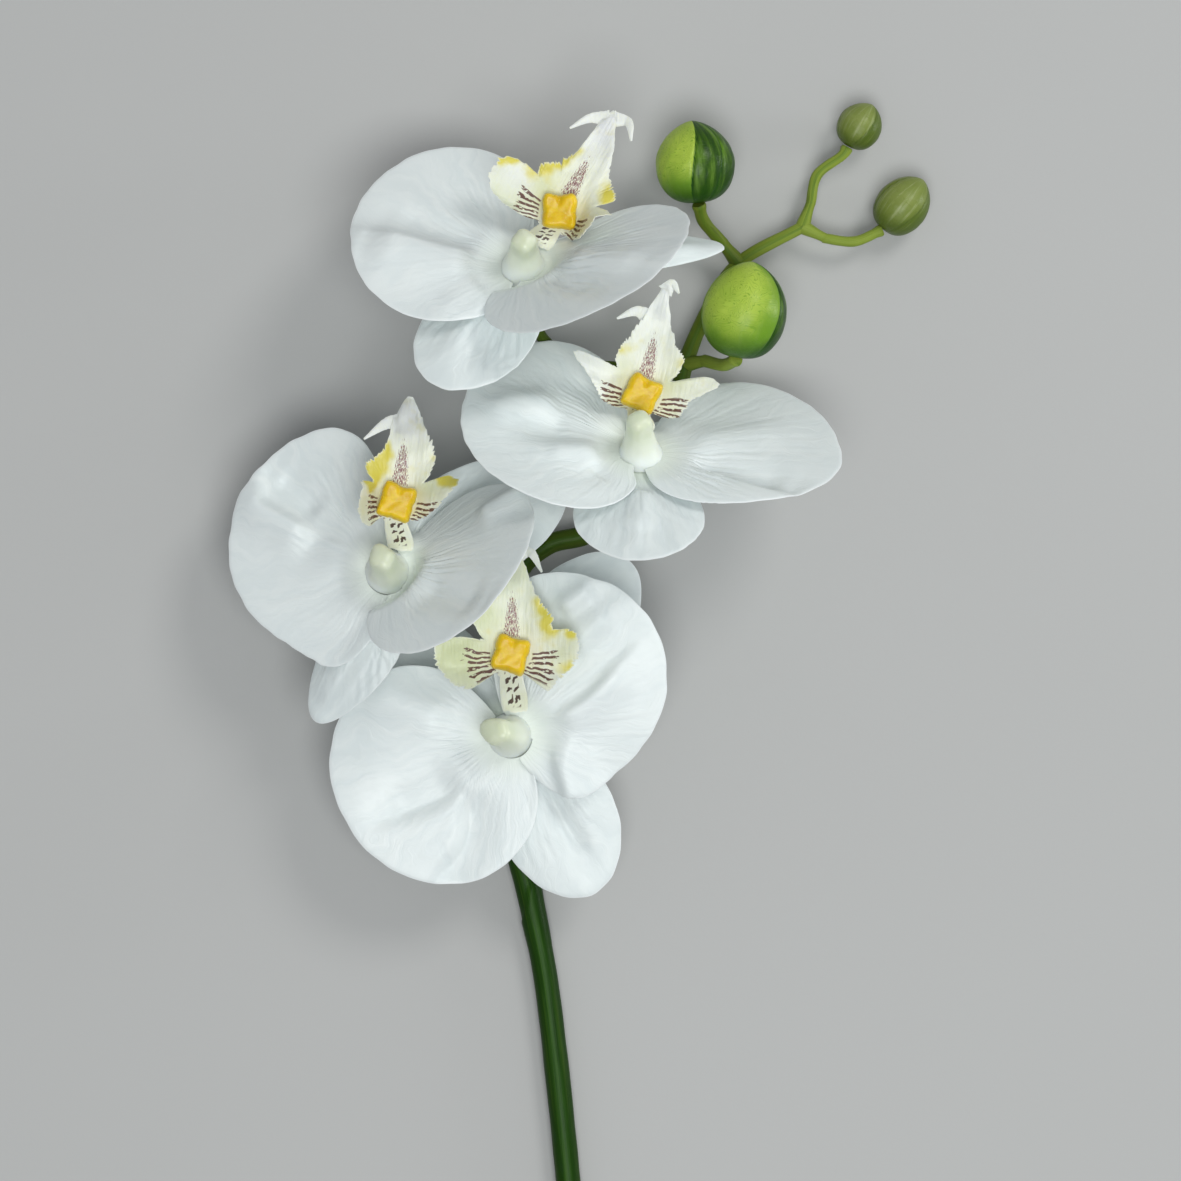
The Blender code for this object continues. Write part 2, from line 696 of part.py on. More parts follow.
def make_tepals(bloom, finishes):
    for tepal in bloom.tepals:
        spokes, rings = (PETAL_SPOKES, PETAL_RINGS) if tepal.is_petal else (SEPAL_SPOKES, SEPAL_RINGS)
        points = tepal_points(bloom, tepal, spokes, rings)
        faces, border = grid_faces(rings + 1, spokes + 1)
        name = f"{bloom.name}_{tepal.name}"
        finish = finishes["petal" if tepal.is_petal else "sepal"]
        add_object(name, sheet_mesh(name, points, faces, border, PETAL_THICKNESS), finish)


def make_lip(bloom, finish):
    """The lip's sheet with its hooked tips fused on."""
    name = f"{bloom.name}_lip"
    faces, border = disc_faces(LIP_RINGS, LIP_SPOKES)
    points = lip_points(bloom, LIP_SPOKES, LIP_RINGS)
    pieces = [add_object(f"{name}_sheet", sheet_mesh(name, points, faces, border, LIP_THICKNESS), finish)]
    for number, hook in enumerate(bloom.lip.hooks):
        flat = smooth_path([(x, y, 0.0) for x, y in hook], 1.6)
        path = lip_place(bloom, flat[:, 0], flat[:, 1])
        radii = np.linspace(HOOK_RADIUS, HOOK_TIP_RADIUS, len(path))
        pieces.append(rod(f"{name}_hook_{number}", path, radii, finish, resolution=2))
    add_object(name, fuse(name, pieces, finish), finish)


def make_callus(bloom, finish):
    """The yellow four-cornered lump in the middle of the lip."""
    name = f"{bloom.name}_callus"
    faces, border = disc_faces(CALLUS_RINGS, CALLUS_SPOKES)
    angles = np.arange(CALLUS_SPOKES) * 360 / CALLUS_SPOKES - 180
    stops, radii = zip(*CALLUS_RIM)
    rim = np.interp(np.abs(angles), stops, radii)
    phi = np.radians(angles + bloom.lip.callus_turn)
    upper, lower = [], []
    for ring in np.linspace(0, 1, CALLUS_RINGS + 1):
        reach = ring * rim if ring else np.zeros(1)
        turn = phi if ring else np.zeros(1)
        x, y = reach * np.cos(turn), reach * np.sin(turn)
        dome = CALLUS_HEIGHT * np.sqrt(1 - CALLUS_SHOULDER * ring**4)
        upper.append(lip_place(bloom, x, y, above=CALLUS_GAP + dome))
        lower.append(lip_place(bloom, CALLUS_UNDERSIDE * x, CALLUS_UNDERSIDE * y, above=CALLUS_GAP))
    shape = shell_mesh(name, np.concatenate(upper), np.concatenate(lower), faces, border)
    add_object(name, shape, finish)


def make_column(bloom, finish):
    """The column: a flared foot over the petals' claws and a stub that leans over the lip."""
    toward, _, out = face_frame(bloom, bloom.column_heading)
    reaches = np.array([reach for reach, _ in COLUMN_PROFILE])
    place = np.array(bloom.centre) + COLUMN_SEAT * out
    path = [place]
    for start, end in zip(reaches, reaches[1:]):
        bend = bloom.column_bend * smooth_step((start + end) / 2 / COLUMN_LENGTH * 1.6)
        step, _ = turned(out, toward, bend)
        path.append(path[-1] + step * (end - start))
    rod(f"{bloom.name}_column", np.array(path), [radius for _, radius in COLUMN_PROFILE], finish)


def make_pedicel(bloom, finish):
    """The bloom's stalk, which ends in a round head behind and through its petals."""
    out = face_frame(bloom, 0.0)[2]
    centre = np.array(bloom.centre)
    route = [STEM_ROUTE[bloom.root], *bloom.pedicel, centre - PEDICEL_REACH * out]
    stub, stalk = branch_paths(route, STUB_LENGTH)
    head = [centre - HEAD_REACH * out, centre + HEAD_HEIGHT * out]
    radii = [PEDICEL_RADIUS] * len(stalk) + [HEAD_RADIUS] * len(head)
    rod(f"{bloom.name}_pedicel", np.concatenate([stalk, head]), radii, finish)
    return f"{bloom.name}_pedicel", stub


def bud_points(bud, sides, rings):
    """An egg-shaped bud: one point at its base end, rings, and one point at its tip."""
    base, tip = np.array(bud.base), np.array(bud.tip)
    axis = unit(tip - base)
    first = unit(np.cross(axis, vec(0.0, 0.0, 1.0)))
    second = np.cross(first, axis)
    angles = np.arange(sides) * 2 * math.pi / sides
    seam = np.cos(1.5 * (angles - math.radians(bud.seam_turn))) ** 2
    points = []
    for step in np.linspace(0, math.pi, rings + 2)[1:-1]:
        share = (1 - math.cos(step)) / 2
        swell = math.sin(step) ** (BUD_BLUNTNESS + BUD_TAPER * share) * (1 + BUD_LOW_BULGE * math.cos(step))
        radius = bud.radius * swell * (1 - BUD_SEAM_DEPTH * (1 - seam) ** 12 * math.sin(step))
        ring = np.outer(np.cos(angles) * radius, first) + np.outer(np.sin(angles) * radius, second)
        points.append(base + (tip - base) * share + ring)
    return np.concatenate([[base], *points, [tip]])


def bud_faces(sides, rings):
    last = 1 + sides * rings
    faces = []
    for side in range(sides):
        after = (side + 1) % sides
        faces.append((0, 1 + after, 1 + side))
        faces.append((last, last - sides + side, last - sides + after))
        for ring in range(rings - 1):
            a, b = 1 + ring * sides + side, 1 + ring * sides + after
            faces += [(a, b, b + sides), (a, b + sides, a + sides)]
    return faces


def make_bud(bud, finishes):
    """A bud on its stalk, which ends just short of the bud's base."""
    large = bud.radius > 9
    sides, rings = (24, 9) if large else (18, 7)
    shape = mesh_of(bud.name, bud_points(bud, sides, rings), bud_faces(sides, rings))
    add_object(bud.name, shape, finishes["bud_large" if large else "bud_small"])
    base, axis = np.array(bud.base), unit(np.array(bud.tip) - np.array(bud.base))
    route = [STEM_ROUTE[bud.root], *bud.stalk, base - 3.0 * axis, base - TOUCH_GAP * axis]
    stub, stalk = branch_paths(route, STUB_LENGTH)
    radii = np.full(len(stalk), bud.stalk_radius)
    radii[-1] += 0.3
    rod(f"{bud.name}_stalk", stalk, radii, finishes["stem"])
    return f"{bud.name}_stalk", stub


def clear_scene():
    for item in list(bpy.data.objects):
        bpy.data.objects.remove(item)


def main():
    clear_scene()
    finishes = {
        "petal": material("petal_white", (0.87, 0.9, 0.9), 0.45),
        "sepal": material("sepal_white", (0.84, 0.88, 0.87), 0.5),
        "lip": material("lip_cream", (0.8, 0.83, 0.6), 0.5),
        "callus": material("callus_yellow", (0.9, 0.5, 0.03), 0.35),
        "column": material("column_cream", (0.75, 0.8, 0.6), 0.4),
        "stem": material("stem_green", (0.05, 0.13, 0.03), 0.5),
        "bud_large": material("bud_green", (0.3, 0.45, 0.08), 0.4),
        "bud_small": material("bud_olive", (0.2, 0.3, 0.06), 0.45),
    }
    branches = []
    for bloom in BLOOMS:
        make_tepals(bloom, finishes)
        make_lip(bloom, finishes["lip"])
        make_callus(bloom, finishes["callus"])
        make_column(bloom, finishes["column"])
        branches.append(make_pedicel(bloom, finishes["stem"]))
    for bud in BUDS:
        branches.append(make_bud(bud, finishes))
    make_stem(branches, finishes["stem"])


main()
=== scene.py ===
"""Looks of the white moth orchid spray: fine petals, lips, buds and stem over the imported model.

Every length is in millimetres and every angle in degrees until a mesh is made. X runs to the
right and Y along the stem towards its tip, seen from above; Z is the height over the table.
"""

import math
from dataclasses import dataclass

import bmesh
import bpy
import numpy as np
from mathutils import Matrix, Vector


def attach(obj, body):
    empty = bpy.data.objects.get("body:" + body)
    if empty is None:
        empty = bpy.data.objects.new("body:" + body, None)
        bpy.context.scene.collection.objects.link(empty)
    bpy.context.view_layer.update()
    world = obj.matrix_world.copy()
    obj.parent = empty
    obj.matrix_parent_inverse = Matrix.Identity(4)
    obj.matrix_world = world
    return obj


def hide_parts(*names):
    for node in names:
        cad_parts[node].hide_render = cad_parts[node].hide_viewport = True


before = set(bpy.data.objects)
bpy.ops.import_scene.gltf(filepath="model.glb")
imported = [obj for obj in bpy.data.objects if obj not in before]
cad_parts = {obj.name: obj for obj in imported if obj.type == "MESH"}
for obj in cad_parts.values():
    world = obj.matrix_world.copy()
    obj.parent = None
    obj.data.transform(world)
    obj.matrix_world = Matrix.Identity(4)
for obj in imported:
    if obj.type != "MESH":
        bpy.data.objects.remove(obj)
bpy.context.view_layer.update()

MM = 0.001
TOUCH_GAP = 0.3

# Sizes of the flower
SIDE_SEPAL_LENGTH = 53
SEPAL_SPREAD = 57
CLAW_RADIUS = 3
CLAW_ANGLE = 55
CLAW_FLAT = 6
CLAW_REACH = 8
CLAW_SPREAD = 2.2
PETAL_BACK = 9
SEPAL_BACK = 2
PEDICEL_REACH = 6.5
HEAD_REACH = 4.2
LOBE_ANGLE = math.radians(92)
LOBE_WIDTH = math.radians(20)
POINT_WIDTH = math.radians(9)
FRONT_LAYER = 1.2
SEPAL_LAYER = -1.5
TEPAL_CURL = -2.5
LIP_LENGTH = 28
LIP_ARCH = 2
COLUMN_LENGTH = 13
COLUMN_FOOT_RADIUS = 5.8
HEAD_RADIUS = 2.4
HEAD_HEIGHT = 1.6
FOOT_HEIGHT = 3
RIM_END = CLAW_FLAT + 0.8
RIM_SQUARENESS = 7
LIP_FLAT = 3
LIP_BEND = 3.5
LOBE_START = 2
LOBE_BLEND = 7
LOBE_FOLD = 12
STRIP_LENGTH = 13.5
STRIP_START = 3
LIP_STRIP = ((153, 6.6), (165, STRIP_LENGTH), (180, STRIP_LENGTH))

# Sizes of the stem and the stalks
STEM_FOOT_RADIUS = 3.6
STEM_FLOWER_RADIUS = 2.6
STEM_TIP_RADIUS = 1.7
STALK_RADIUS = 1.35
PEDICEL_RADIUS = 1.6
STUB_LENGTH = 7
STUB_FLARE = 0.6

# The reach along the stem whose green the pedicels take
PEDICEL_TONE = 340

# The middle of the spray's footprint, which becomes its origin
ORIGIN = np.array([-2.3, -85.1, 0])


def vec(*values):
    return np.array(values, dtype=float)


EAST = vec(1, 0, 0)


def unit(vectors):
    """A direction, or each row of them, at length 1."""
    return vectors / np.linalg.norm(vectors, axis=-1, keepdims=True)


def cos_sin(degrees):
    return math.cos(math.radians(degrees)), math.sin(math.radians(degrees))


def smooth_step(value):
    value = np.clip(value, 0, 1)
    return value * value * (3 - 2 * value)


def blend(first, second, share):
    return first + (second - first) * share


@dataclass
class Tepal:
    """One petal or sepal. It points along heading and is seen from the bloom's face."""

    name: str
    heading: float
    length: float
    left: float
    right: float
    spread_left: float = SEPAL_SPREAD
    spread_right: float = SEPAL_SPREAD
    rise: float = 0.0
    roll: float = 0.0
    cup_left: float = -1.5
    cup_right: float = -1.5
    point: float = 0.0
    lobe_left: float = 0.0
    lobe_right: float = 0.0
    layer: float = 0.0

    @property
    def is_petal(self):
        return self.name.startswith("petal")

    @property
    def back(self):
        return PETAL_BACK if self.is_petal else SEPAL_BACK

    @property
    def depth(self):
        return self.layer if self.is_petal else SEPAL_LAYER


@dataclass
class Lip:
    """The lip: a sheet round its callus, with a middle lobe, two wings and a foot strip.

    Each side's outline is given by its angle from the lip's heading and its distance from the
    callus: the middle lobe's edge and corner, the notch, then the wing. The neck below its tip is
    neck_width wide from its middle.
    """

    place: float
    heading: float
    reach: float
    height: float
    foot: float
    length: float
    left: tuple
    right: tuple
    hooks: tuple
    fold_left: float
    fold_right: float
    callus_turn: float
    neck_width: float


@dataclass
class Bloom:
    """One open flower and its stalk from a point on the stem's route."""

    name: str
    centre: np.ndarray
    lean: float
    tepals: tuple
    lip: Lip
    column_heading: float
    column_bend: float
    root: int
    pedicel: tuple
    column_flap: tuple = (0, 0)


@dataclass
class Bud:
    """A closed bud and the stalk that carries it, from a point on the stem's route.

    Its scales are given by the angle of the seam before each of them and how dark it is. The
    stalk takes the green of the stem at the reach of its tone.
    """

    name: str
    base: np.ndarray
    tip: np.ndarray
    radius: float
    root: int
    stalk: tuple
    stalk_radius: float
    stalk_tone: float
    scales: tuple


def face_frame(bloom, heading):
    """The bloom's face at a heading: along, to the left, and out of the face."""
    out = unit(vec(0, math.tan(math.radians(bloom.lean)), 1))
    cos, sin = cos_sin(heading)
    along = unit(vec(cos, sin, -out[1] * sin / out[2]))
    return along, np.cross(out, along), out


def turned(first, second, angle):
    """Two square directions turned in their plane, the first towards the second."""
    cos, sin = cos_sin(angle)
    return first * cos + second * sin, second * cos - first * sin


def pose(heading, rise, roll):
    """Along a heading that rises from the table, to its left, and out of the face."""
    cos, sin = cos_sin(heading)
    along, out = turned(vec(cos, sin, 0), vec(0, 0, 1), rise)
    left, out = turned(vec(-sin, cos, 0), out, roll)
    return along, left, out


def rim_radius(tepal, phi):
    """How far the rim is from the bloom's axis, on an ellipse that holds the axis near its end."""
    half = (tepal.length + tepal.back) / 2
    centre = tepal.length - half
    side = np.where(phi > 0, tepal.left, tepal.right)
    cos, sin = np.cos(phi), np.sin(phi)
    root = np.sqrt((side * cos) ** 2 + (half**2 - centre**2) * sin**2)
    radius = (centre * side**2 * cos + half * side * root) / ((side * cos) ** 2 + (half * sin) ** 2)
    lobe = np.where(phi > 0, tepal.lobe_left, tepal.lobe_right)
    radius += lobe * np.exp(-(((np.abs(phi) - LOBE_ANGLE) / LOBE_WIDTH) ** 2))
    return radius + tepal.point * np.exp(-((phi / POINT_WIDTH) ** 2))


def tepal_heights(tepal, x, y):
    """How far the tepal stands out of its own flat plane."""
    side = np.where(y > 0, tepal.left, tepal.right)
    cup = np.where(y > 0, tepal.cup_left, tepal.cup_right)
    reach = x / tepal.length
    return TEPAL_CURL * reach * np.abs(reach) + cup * (y / side) ** 2


def travelled(points):
    """How far along a line of points each of them is."""
    return np.concatenate([[0], np.cumsum(np.linalg.norm(np.diff(points, axis=0), axis=1))])


def rim_shares(tepal, spokes):
    """Where the spokes meet the rim, at even steps along it."""
    share = np.linspace(-1, 1, 201)
    phi, radius = rim_outline(tepal, share)
    reached = travelled(np.stack([radius * np.cos(phi), radius * np.sin(phi)], axis=1))
    return np.interp(np.linspace(0, reached[-1], spokes + 1), reached, share)


def rim_outline(tepal, share):
    """The rim's angle and radius, rounded back to the claw at both ends."""
    phi = np.radians(share * np.where(share > 0, tepal.spread_left, tepal.spread_right))
    radius = RIM_END + (rim_radius(tepal, phi) - RIM_END) * np.sqrt(1 - np.abs(share) ** RIM_SQUARENESS)
    return phi, radius


def lip_rim(lip, angles):
    """How far the lip's rim is from the callus at each angle from the lip's heading."""
    reach = []
    for angle in angles:
        side = lip.left if angle > 0 else lip.right
        stops, radii = zip((0, lip.length), *side, *LIP_STRIP)
        reach.append(np.interp(abs(angle), stops, radii))
    return np.array(reach)


def lip_bend(lip, x, y):
    """The lip's sheet folded up along its two sides and arched along its length."""
    lobe = smooth_step((x - LOBE_START) / LOBE_BLEND)
    fold = np.where(y > 0, lip.fold_left, lip.fold_right)
    angle = np.radians(blend(fold, LOBE_FOLD, lobe))
    past = np.maximum(np.abs(y) - LIP_FLAT, 0)
    bent = np.minimum(past / LIP_BEND, angle)
    straight = np.maximum(past - LIP_BEND * angle, 0)
    across = np.minimum(np.abs(y), LIP_FLAT) + LIP_BEND * np.sin(bent) + straight * np.cos(angle)
    height = LIP_BEND * (1 - np.cos(bent)) + straight * np.sin(angle)
    reach = np.clip(x / LIP_LENGTH, 0, 1.1)
    return x, np.sign(y) * across, height + LIP_ARCH * np.sin(math.pi * reach)


def lip_frame(bloom):
    """The callus's place and the lip's own directions: forward, left and up."""
    lip = bloom.lip
    toward, _, out = face_frame(bloom, lip.place)
    root = bloom.centre + lip.reach * toward + lip.height * out
    toward, _, _ = face_frame(bloom, lip.foot)
    foot = bloom.centre + (COLUMN_FOOT_RADIUS + 0.6) * toward + FOOT_HEIGHT * out
    return root, np.array(pose(lip.heading, 0, 0)), foot


def lip_place(bloom, x, y, above=0):
    """Where points of the flat lip lie in the bloom; its strip runs back to the column's foot."""
    root, frame, foot = lip_frame(bloom)
    bent = np.stack(lip_bend(bloom.lip, np.asarray(x, float), np.asarray(y, float)), axis=-1)
    bent[..., 2] += above
    places = root + bent @ frame
    end = root - STRIP_LENGTH * frame[0]
    share = smooth_step((-np.asarray(x, float) - STRIP_START) / (STRIP_LENGTH - STRIP_START))
    return places + share[..., None] * (foot - end)


def points_along(path, stops):
    """Points of a path at distances along it."""
    return np.stack([np.interp(stops, travelled(path), axis) for axis in path.T], axis=1)


def smooth_path(points, spacing):
    """Points every spacing along a smooth curve through the given ones."""
    points = np.array(points, dtype=float)
    posts = [2 * points[0] - points[1], *points, 2 * points[-1] - points[-2]]
    dense = [
        0.5 * (2 * b + (c - a) * t + (2 * a - 5 * b + 4 * c - d) * t**2 + (3 * b - a - 3 * c + d) * t**3)
        for a, b, c, d in zip(posts, posts[1:], posts[2:], posts[3:])
        for t in np.linspace(0, 1, 24, endpoint=False)
    ]
    dense = np.array([*dense, points[-1]])
    length = path_length(dense)
    return points_along(dense, np.linspace(0, length, max(2, round(length / spacing)) + 1))


def part_of_path(path, start, end):
    """The stretch of a path between two distances along it."""
    inner = travelled(path)
    inner = inner[(inner > start + 0.4) & (inner < end - 0.4)]
    return points_along(path, np.concatenate([[start], inner, [end]]))


def path_length(path):
    return travelled(path)[-1]


# The stem, from its cut foot to the fork at its tip
STEM_ROUTE = (
    (2.6, -303, 3.4), (2, -265, 3.4), (-0.1, -226, 3.4),
    (-3.4, -191, 3.4), (-6.1, -161.2, 3.4), (-8.9, -133.6, 3.4),
    (-12.4, -105, 3.4), (-17.1, -81.8, 3.5), (-19.8, -70.8, 3.6),
    (-22.5, -51.7, 4.2), (-23.9, -29.9, 5), (-23.3, -10.8, 5.8),
    (-20.1, 4.2, 6.4), (-11.6, 12.4, 6.8), (-0.1, 15.7, 7.2),
    (12.1, 24.7, 7.6), (21.2, 42.5, 8), (25.8, 61.6, 8.2),
    (32.1, 76.6, 8.2), (40.3, 89.1, 8), (57.7, 99, 7.6),
)
STEM_RADII = (
    (0, STEM_FOOT_RADIUS), (232, STEM_FOOT_RADIUS - 0.3), (345, STEM_FLOWER_RADIUS), (395, 2.1),
    (425, STEM_TIP_RADIUS), (450, STEM_TIP_RADIUS - 0.1),
)
SHEATH_LENGTH = 14
SHEATH_SLANT = 7
SHEATH_REACHES = (98, 228)


def stem_radius(distance):
    return np.interp(distance, *zip(*STEM_RADII))


def branch_paths(route, stub):
    """A side branch's own stub on the stem, and the stalk that goes on from it."""
    path = smooth_path(route, 3)
    return part_of_path(path, 0, stub), part_of_path(path, stub + TOUCH_GAP, path_length(path))


# The four blooms, top to bottom
BLOOMS = (
    Bloom(
        name="bloom_1",
        centre=vec(-17.6, 85.2, 44),
        lean=40,
        tepals=(
            Tepal("petal_left", 150.5, 47.5, 33, 35, spread_left=100, spread_right=72, rise=-8, roll=38),
            Tepal("petal_right", -4.5, 49.5, 33.5, 29, spread_left=76, spread_right=92, rise=47, roll=-51,
                  layer=FRONT_LAYER),
            Tepal("sepal_dorsal", 232, 43.5, 15, 15, rise=31, roll=18),
            Tepal("sepal_left", 120, SIDE_SEPAL_LENGTH, 15, 15, spread_right=50, rise=-50.7, roll=10),
            Tepal("sepal_right", 9.5, 49.5, 13.5, 5, spread_left=45, rise=-6, roll=-50, point=4.5),
        ),
        lip=Lip(place=45, heading=61, reach=15.5, height=8.5, foot=50, length=30.5,
                left=((7, 22.5), (10, 18), (15, 15.3), (31, 12.6), (50, 14), (57, 12.5), (60, 10.5),
                      (64, 15), (71, 19.5), (80, 22), (90, 22.5), (100, 20.5), (109, 17), (121, 12),
                      (140, 6.5)),
                right=((7, 25), (18, 18.3), (27, 15.8), (39, 15.4), (50, 15.8), (57, 9.5), (64, 14),
                       (74, 17), (88, 17.5), (104, 15), (120, 11), (138, 6.5)),
                hooks=(((28, 0.5), (25.5, 5), (20.5, 8.4)),
                       ((28.5, -0.5), (29.5, -4.5), (25.5, -7.6))),
                fold_left=22, fold_right=72, callus_turn=28, neck_width=2.6),
        column_heading=97,
        column_bend=-20,
        root=17,
        pedicel=((12, 60.5, 10.5), (-3, 62, 11.5), (-12.5, 67.5, 20), (-16.8, 76, 31)),
    ),
    Bloom(
        name="bloom_2",
        centre=vec(13.1, 36, 43),
        lean=48,
        tepals=(
            Tepal("petal_left", 159, 48.5, 33.5, 33, spread_left=104, spread_right=70, roll=43, cup_left=4,
                  layer=FRONT_LAYER),
            Tepal("petal_right", 1, 53.5, 38.5, 20.5, spread_left=72, spread_right=80, roll=-53),
            Tepal("sepal_dorsal", -92, 38.5, 18, 18, rise=49),
            Tepal("sepal_left", 150, SIDE_SEPAL_LENGTH, 14, 14, spread_right=52, rise=-49.5, roll=25),
            Tepal("sepal_right", 8, SIDE_SEPAL_LENGTH, 15, 12, spread_right=44, rise=-48.7, roll=-42),
        ),
        lip=Lip(place=87, heading=77.3, reach=14, height=9, foot=87, length=30,
                left=((7, 23.5), (13, 19.6), (25, 15.6), (42, 13.2), (52, 11), (58, 9.5), (64, 15.5),
                      (70, 22.5), (76, 21), (86, 16.5), (97, 13.5), (108, 12), (126, 9), (142, 6)),
                right=((4.5, 24), (11, 19), (22, 15.8), (37, 14.6), (46, 12.5), (51, 9.5), (56, 8),
                       (61, 15.5), (66, 20.5), (72, 21.5), (78, 17), (86, 13), (98, 12.3),
                       (111, 11.8), (127, 8.5), (142, 5.5)),
                hooks=(((20.5, 3), (21, 6.5), (18, 11)),
                       ((28, 0), (30.5, -1.5), (28.3, -3.8))),
                fold_left=35, fold_right=15, callus_turn=-15, neck_width=1.8),
        column_heading=75,
        column_bend=-14,
        root=14,
        pedicel=((6, 20, 17), (10.5, 25, 27)),
    ),
    Bloom(
        name="bloom_3",
        centre=vec(-53.8, 5, 38),
        lean=5,
        tepals=(
            Tepal("petal_left", 151, 46.8, 29.5, 32, spread_left=121, spread_right=59, rise=-14,
                  lobe_left=8.5),
            Tepal("petal_right", 7, 48, 30, 28, spread_left=70, spread_right=95, rise=43, roll=-42,
                  layer=FRONT_LAYER),
            Tepal("sepal_dorsal", -117, 40.5, 12.5, 8.5, spread_right=43, rise=-6, roll=15, point=4.5),
            Tepal("sepal_left", 138, SIDE_SEPAL_LENGTH, 16, 16, spread_right=50, rise=-40.3),
            Tepal("sepal_right", 27, 54, 17, 14, spread_left=52, rise=-12),
        ),
        lip=Lip(place=81, heading=83, reach=18, height=8, foot=58, length=28,
                left=((10, 22), (13, 17.5), (21, 14), (38, 13), (49, 13.2), (56, 11), (62, 8.5),
                      (72, 14), (86, 18.6), (100, 19.6), (115, 17.1), (130, 11.4), (142, 5.5)),
                right=((5, 26), (13, 21), (29, 16.9), (39, 14), (47, 9.5), (51, 9), (55, 15),
                       (65, 18), (77, 16), (91, 12.5), (111, 9), (128, 7), (142, 5.5)),
                hooks=(((21, 2), (20, 5.5), (15.3, 10.8)),),
                fold_left=75, fold_right=40, callus_turn=-12, neck_width=3),
        column_heading=110,
        column_bend=20,
        root=12,
        pedicel=((-34, 6, 14), (-46, 6.5, 23)),
        column_flap=(120, 0.35),
    ),
    Bloom(
        name="bloom_4",
        centre=vec(-21.5, -38.8, 28),
        lean=0,
        tepals=(
            Tepal("petal_left", 202, 50, 33, 29.5, spread_left=102, spread_right=74),
            Tepal("petal_right", 47.5, 49.5, 29, 28, spread_left=58, spread_right=114, rise=12,
                  lobe_right=6.5, layer=FRONT_LAYER),
            Tepal("sepal_dorsal", -62.5, 49, 17, 16, rise=-6),
            Tepal("sepal_left", 141, 49, 15, 15, spread_right=36, rise=-20),
            Tepal("sepal_right", 56.5, 57.5, 18, 14.5, spread_left=40, rise=-7),
        ),
        lip=Lip(place=89, heading=88.4, reach=22, height=10.5, foot=78, length=29,
                left=((8, 24), (13, 20), (24, 16), (38, 15), (50, 14), (60, 9.5), (66, 8.5), (74, 15),
                      (84, 20.8), (97, 21), (112, 18.6), (126, 14.8), (133, 9), (142, 6)),
                right=((6, 25), (11, 21), (20, 17.5), (34, 15.5), (50, 14.8), (56, 12.5), (60, 13.5),
                       (67, 17.8), (77, 19), (91, 18.5), (106, 16), (117, 13.6), (132, 13.3),
                       (137, 9), (144, 6)),
                hooks=(((26, -0.5), (27, -4.5), (21.9, -7.7)),),
                fold_left=15, fold_right=15, callus_turn=-14, neck_width=2.4),
        column_heading=155,
        column_bend=26,
        root=11,
        pedicel=((-27.5, -20, 12), (-23.5, -32, 17)),
        column_flap=(165, 0.75),
    ),
)

# The four buds: two large, two small at the tips of the fork
BUDS = (
    Bud("bud_large_upper", vec(29.2, 104.8, 16), vec(27.2, 126.8, 18), 10.8, 19,
        ((35.8, 94.6, 9), (31.2, 99.5, 12.5)), STALK_RADIUS + 0.3, 405,
        ((92, 0.1), (205, 0.5), (318, 0.55), (46, 1))),
    Bud("bud_large_lower", vec(39.4, 62.5, 24), vec(43.4, 88.2, 26), 11.5, 17,
        ((29.8, 62.6, 11), (33.8, 61.2, 16), (37.4, 60.6, 20.5)), STALK_RADIUS + 0.3, 425,
        ((33, 0.05), (170, 0.3), (300, 0.95))),
    Bud("bud_small_upper", vec(70.1, 121, 7.5), vec(76.7, 132.2, 8), 6.1, 20,
        ((59.9, 105, 7.6), (61.4, 112.5, 7.5), (66, 118, 7.5)), STALK_RADIUS, 452,
        ((62, 0.3), (170, 0.6), (300, 0.75))),
    Bud("bud_small_lower", vec(79.6, 98.4, 7.3), vec(90.6, 111.8, 7.5), 7.2, 20,
        ((64, 95.8, 7.6), (71, 95, 7.6), (77.2, 95.9, 7.5)), STALK_RADIUS, 452,
        ((48, 0.35), (150, 0.55), (285, 0.75))),
)
BUD_SEAM_DEPTH = 0.07
BUD_BLUNTNESS = 0.8
BUD_TAPER = 0.45
BUD_LOW_BULGE = 0.08
SEAM_TWIST = 24
LARGE_BUD_RADIUS = 9

# The callus: its outline by angle and radius, and its place over the lip
CALLUS_OUTLINE = (
    (0, 4), (22, 4.7), (40, 6.4), (54, 5.5), (90, 4.2), (122, 5.3), (138, 6.7), (155, 5.2), (180, 4.5),
)
CALLUS_HEIGHT = 3.6
CALLUS_GAP = 1.25
CALLUS_UNDERSIDE = 0.85
CALLUS_SHOULDER = 1.7
CALLUS_GROOVE = 0.13

# The column: its radius by its reach over its seat, and where it starts and rounds off
COLUMN_SHAPE = (
    (-3, 6.2), (-1.3, 5.95), (-0.3, 5.5), (0.8, 5), (2.2, 4.5), (4, 4.05), (6.5, 3.5), (13, 3.15),
)
COLUMN_SEAT = 2
COLUMN_START = -3
COLUMN_ROUNDING = 2.6
COLUMN_SQUARENESS = 0.06

# How finely the shown pieces are made: points round them, and rings
PETAL_GRID = (200, 42)
SEPAL_GRID = (96, 28)
LIP_GRID = (300, 22)
CALLUS_GRID = (80, 14)
LARGE_BUD_GRID = (180, 48)
SMALL_BUD_GRID = (120, 34)
COLUMN_SIDES = 48
STEM_SIDES = 40
STALK_SIDES = 24
HOOK_SIDES = 10
SHARP_EDGE = 60

# The sheets of the tepals and lips, and how far in from the rim they grow thinner
SHEET = 0.5
SHEET_RIM = 0.12
RIM_ROUND = 1.4
LIP_SHEET = 0.45
LIP_RIM_ROUND = 1.2

# The lip's frayed rim, its curl and its waves
LIP_SMOOTHING = 1.4
LIP_TEETH = 0.22
LIP_NOTCHES = 0.6
LIP_CURL = 1.1
LIP_WAVE = 0.35

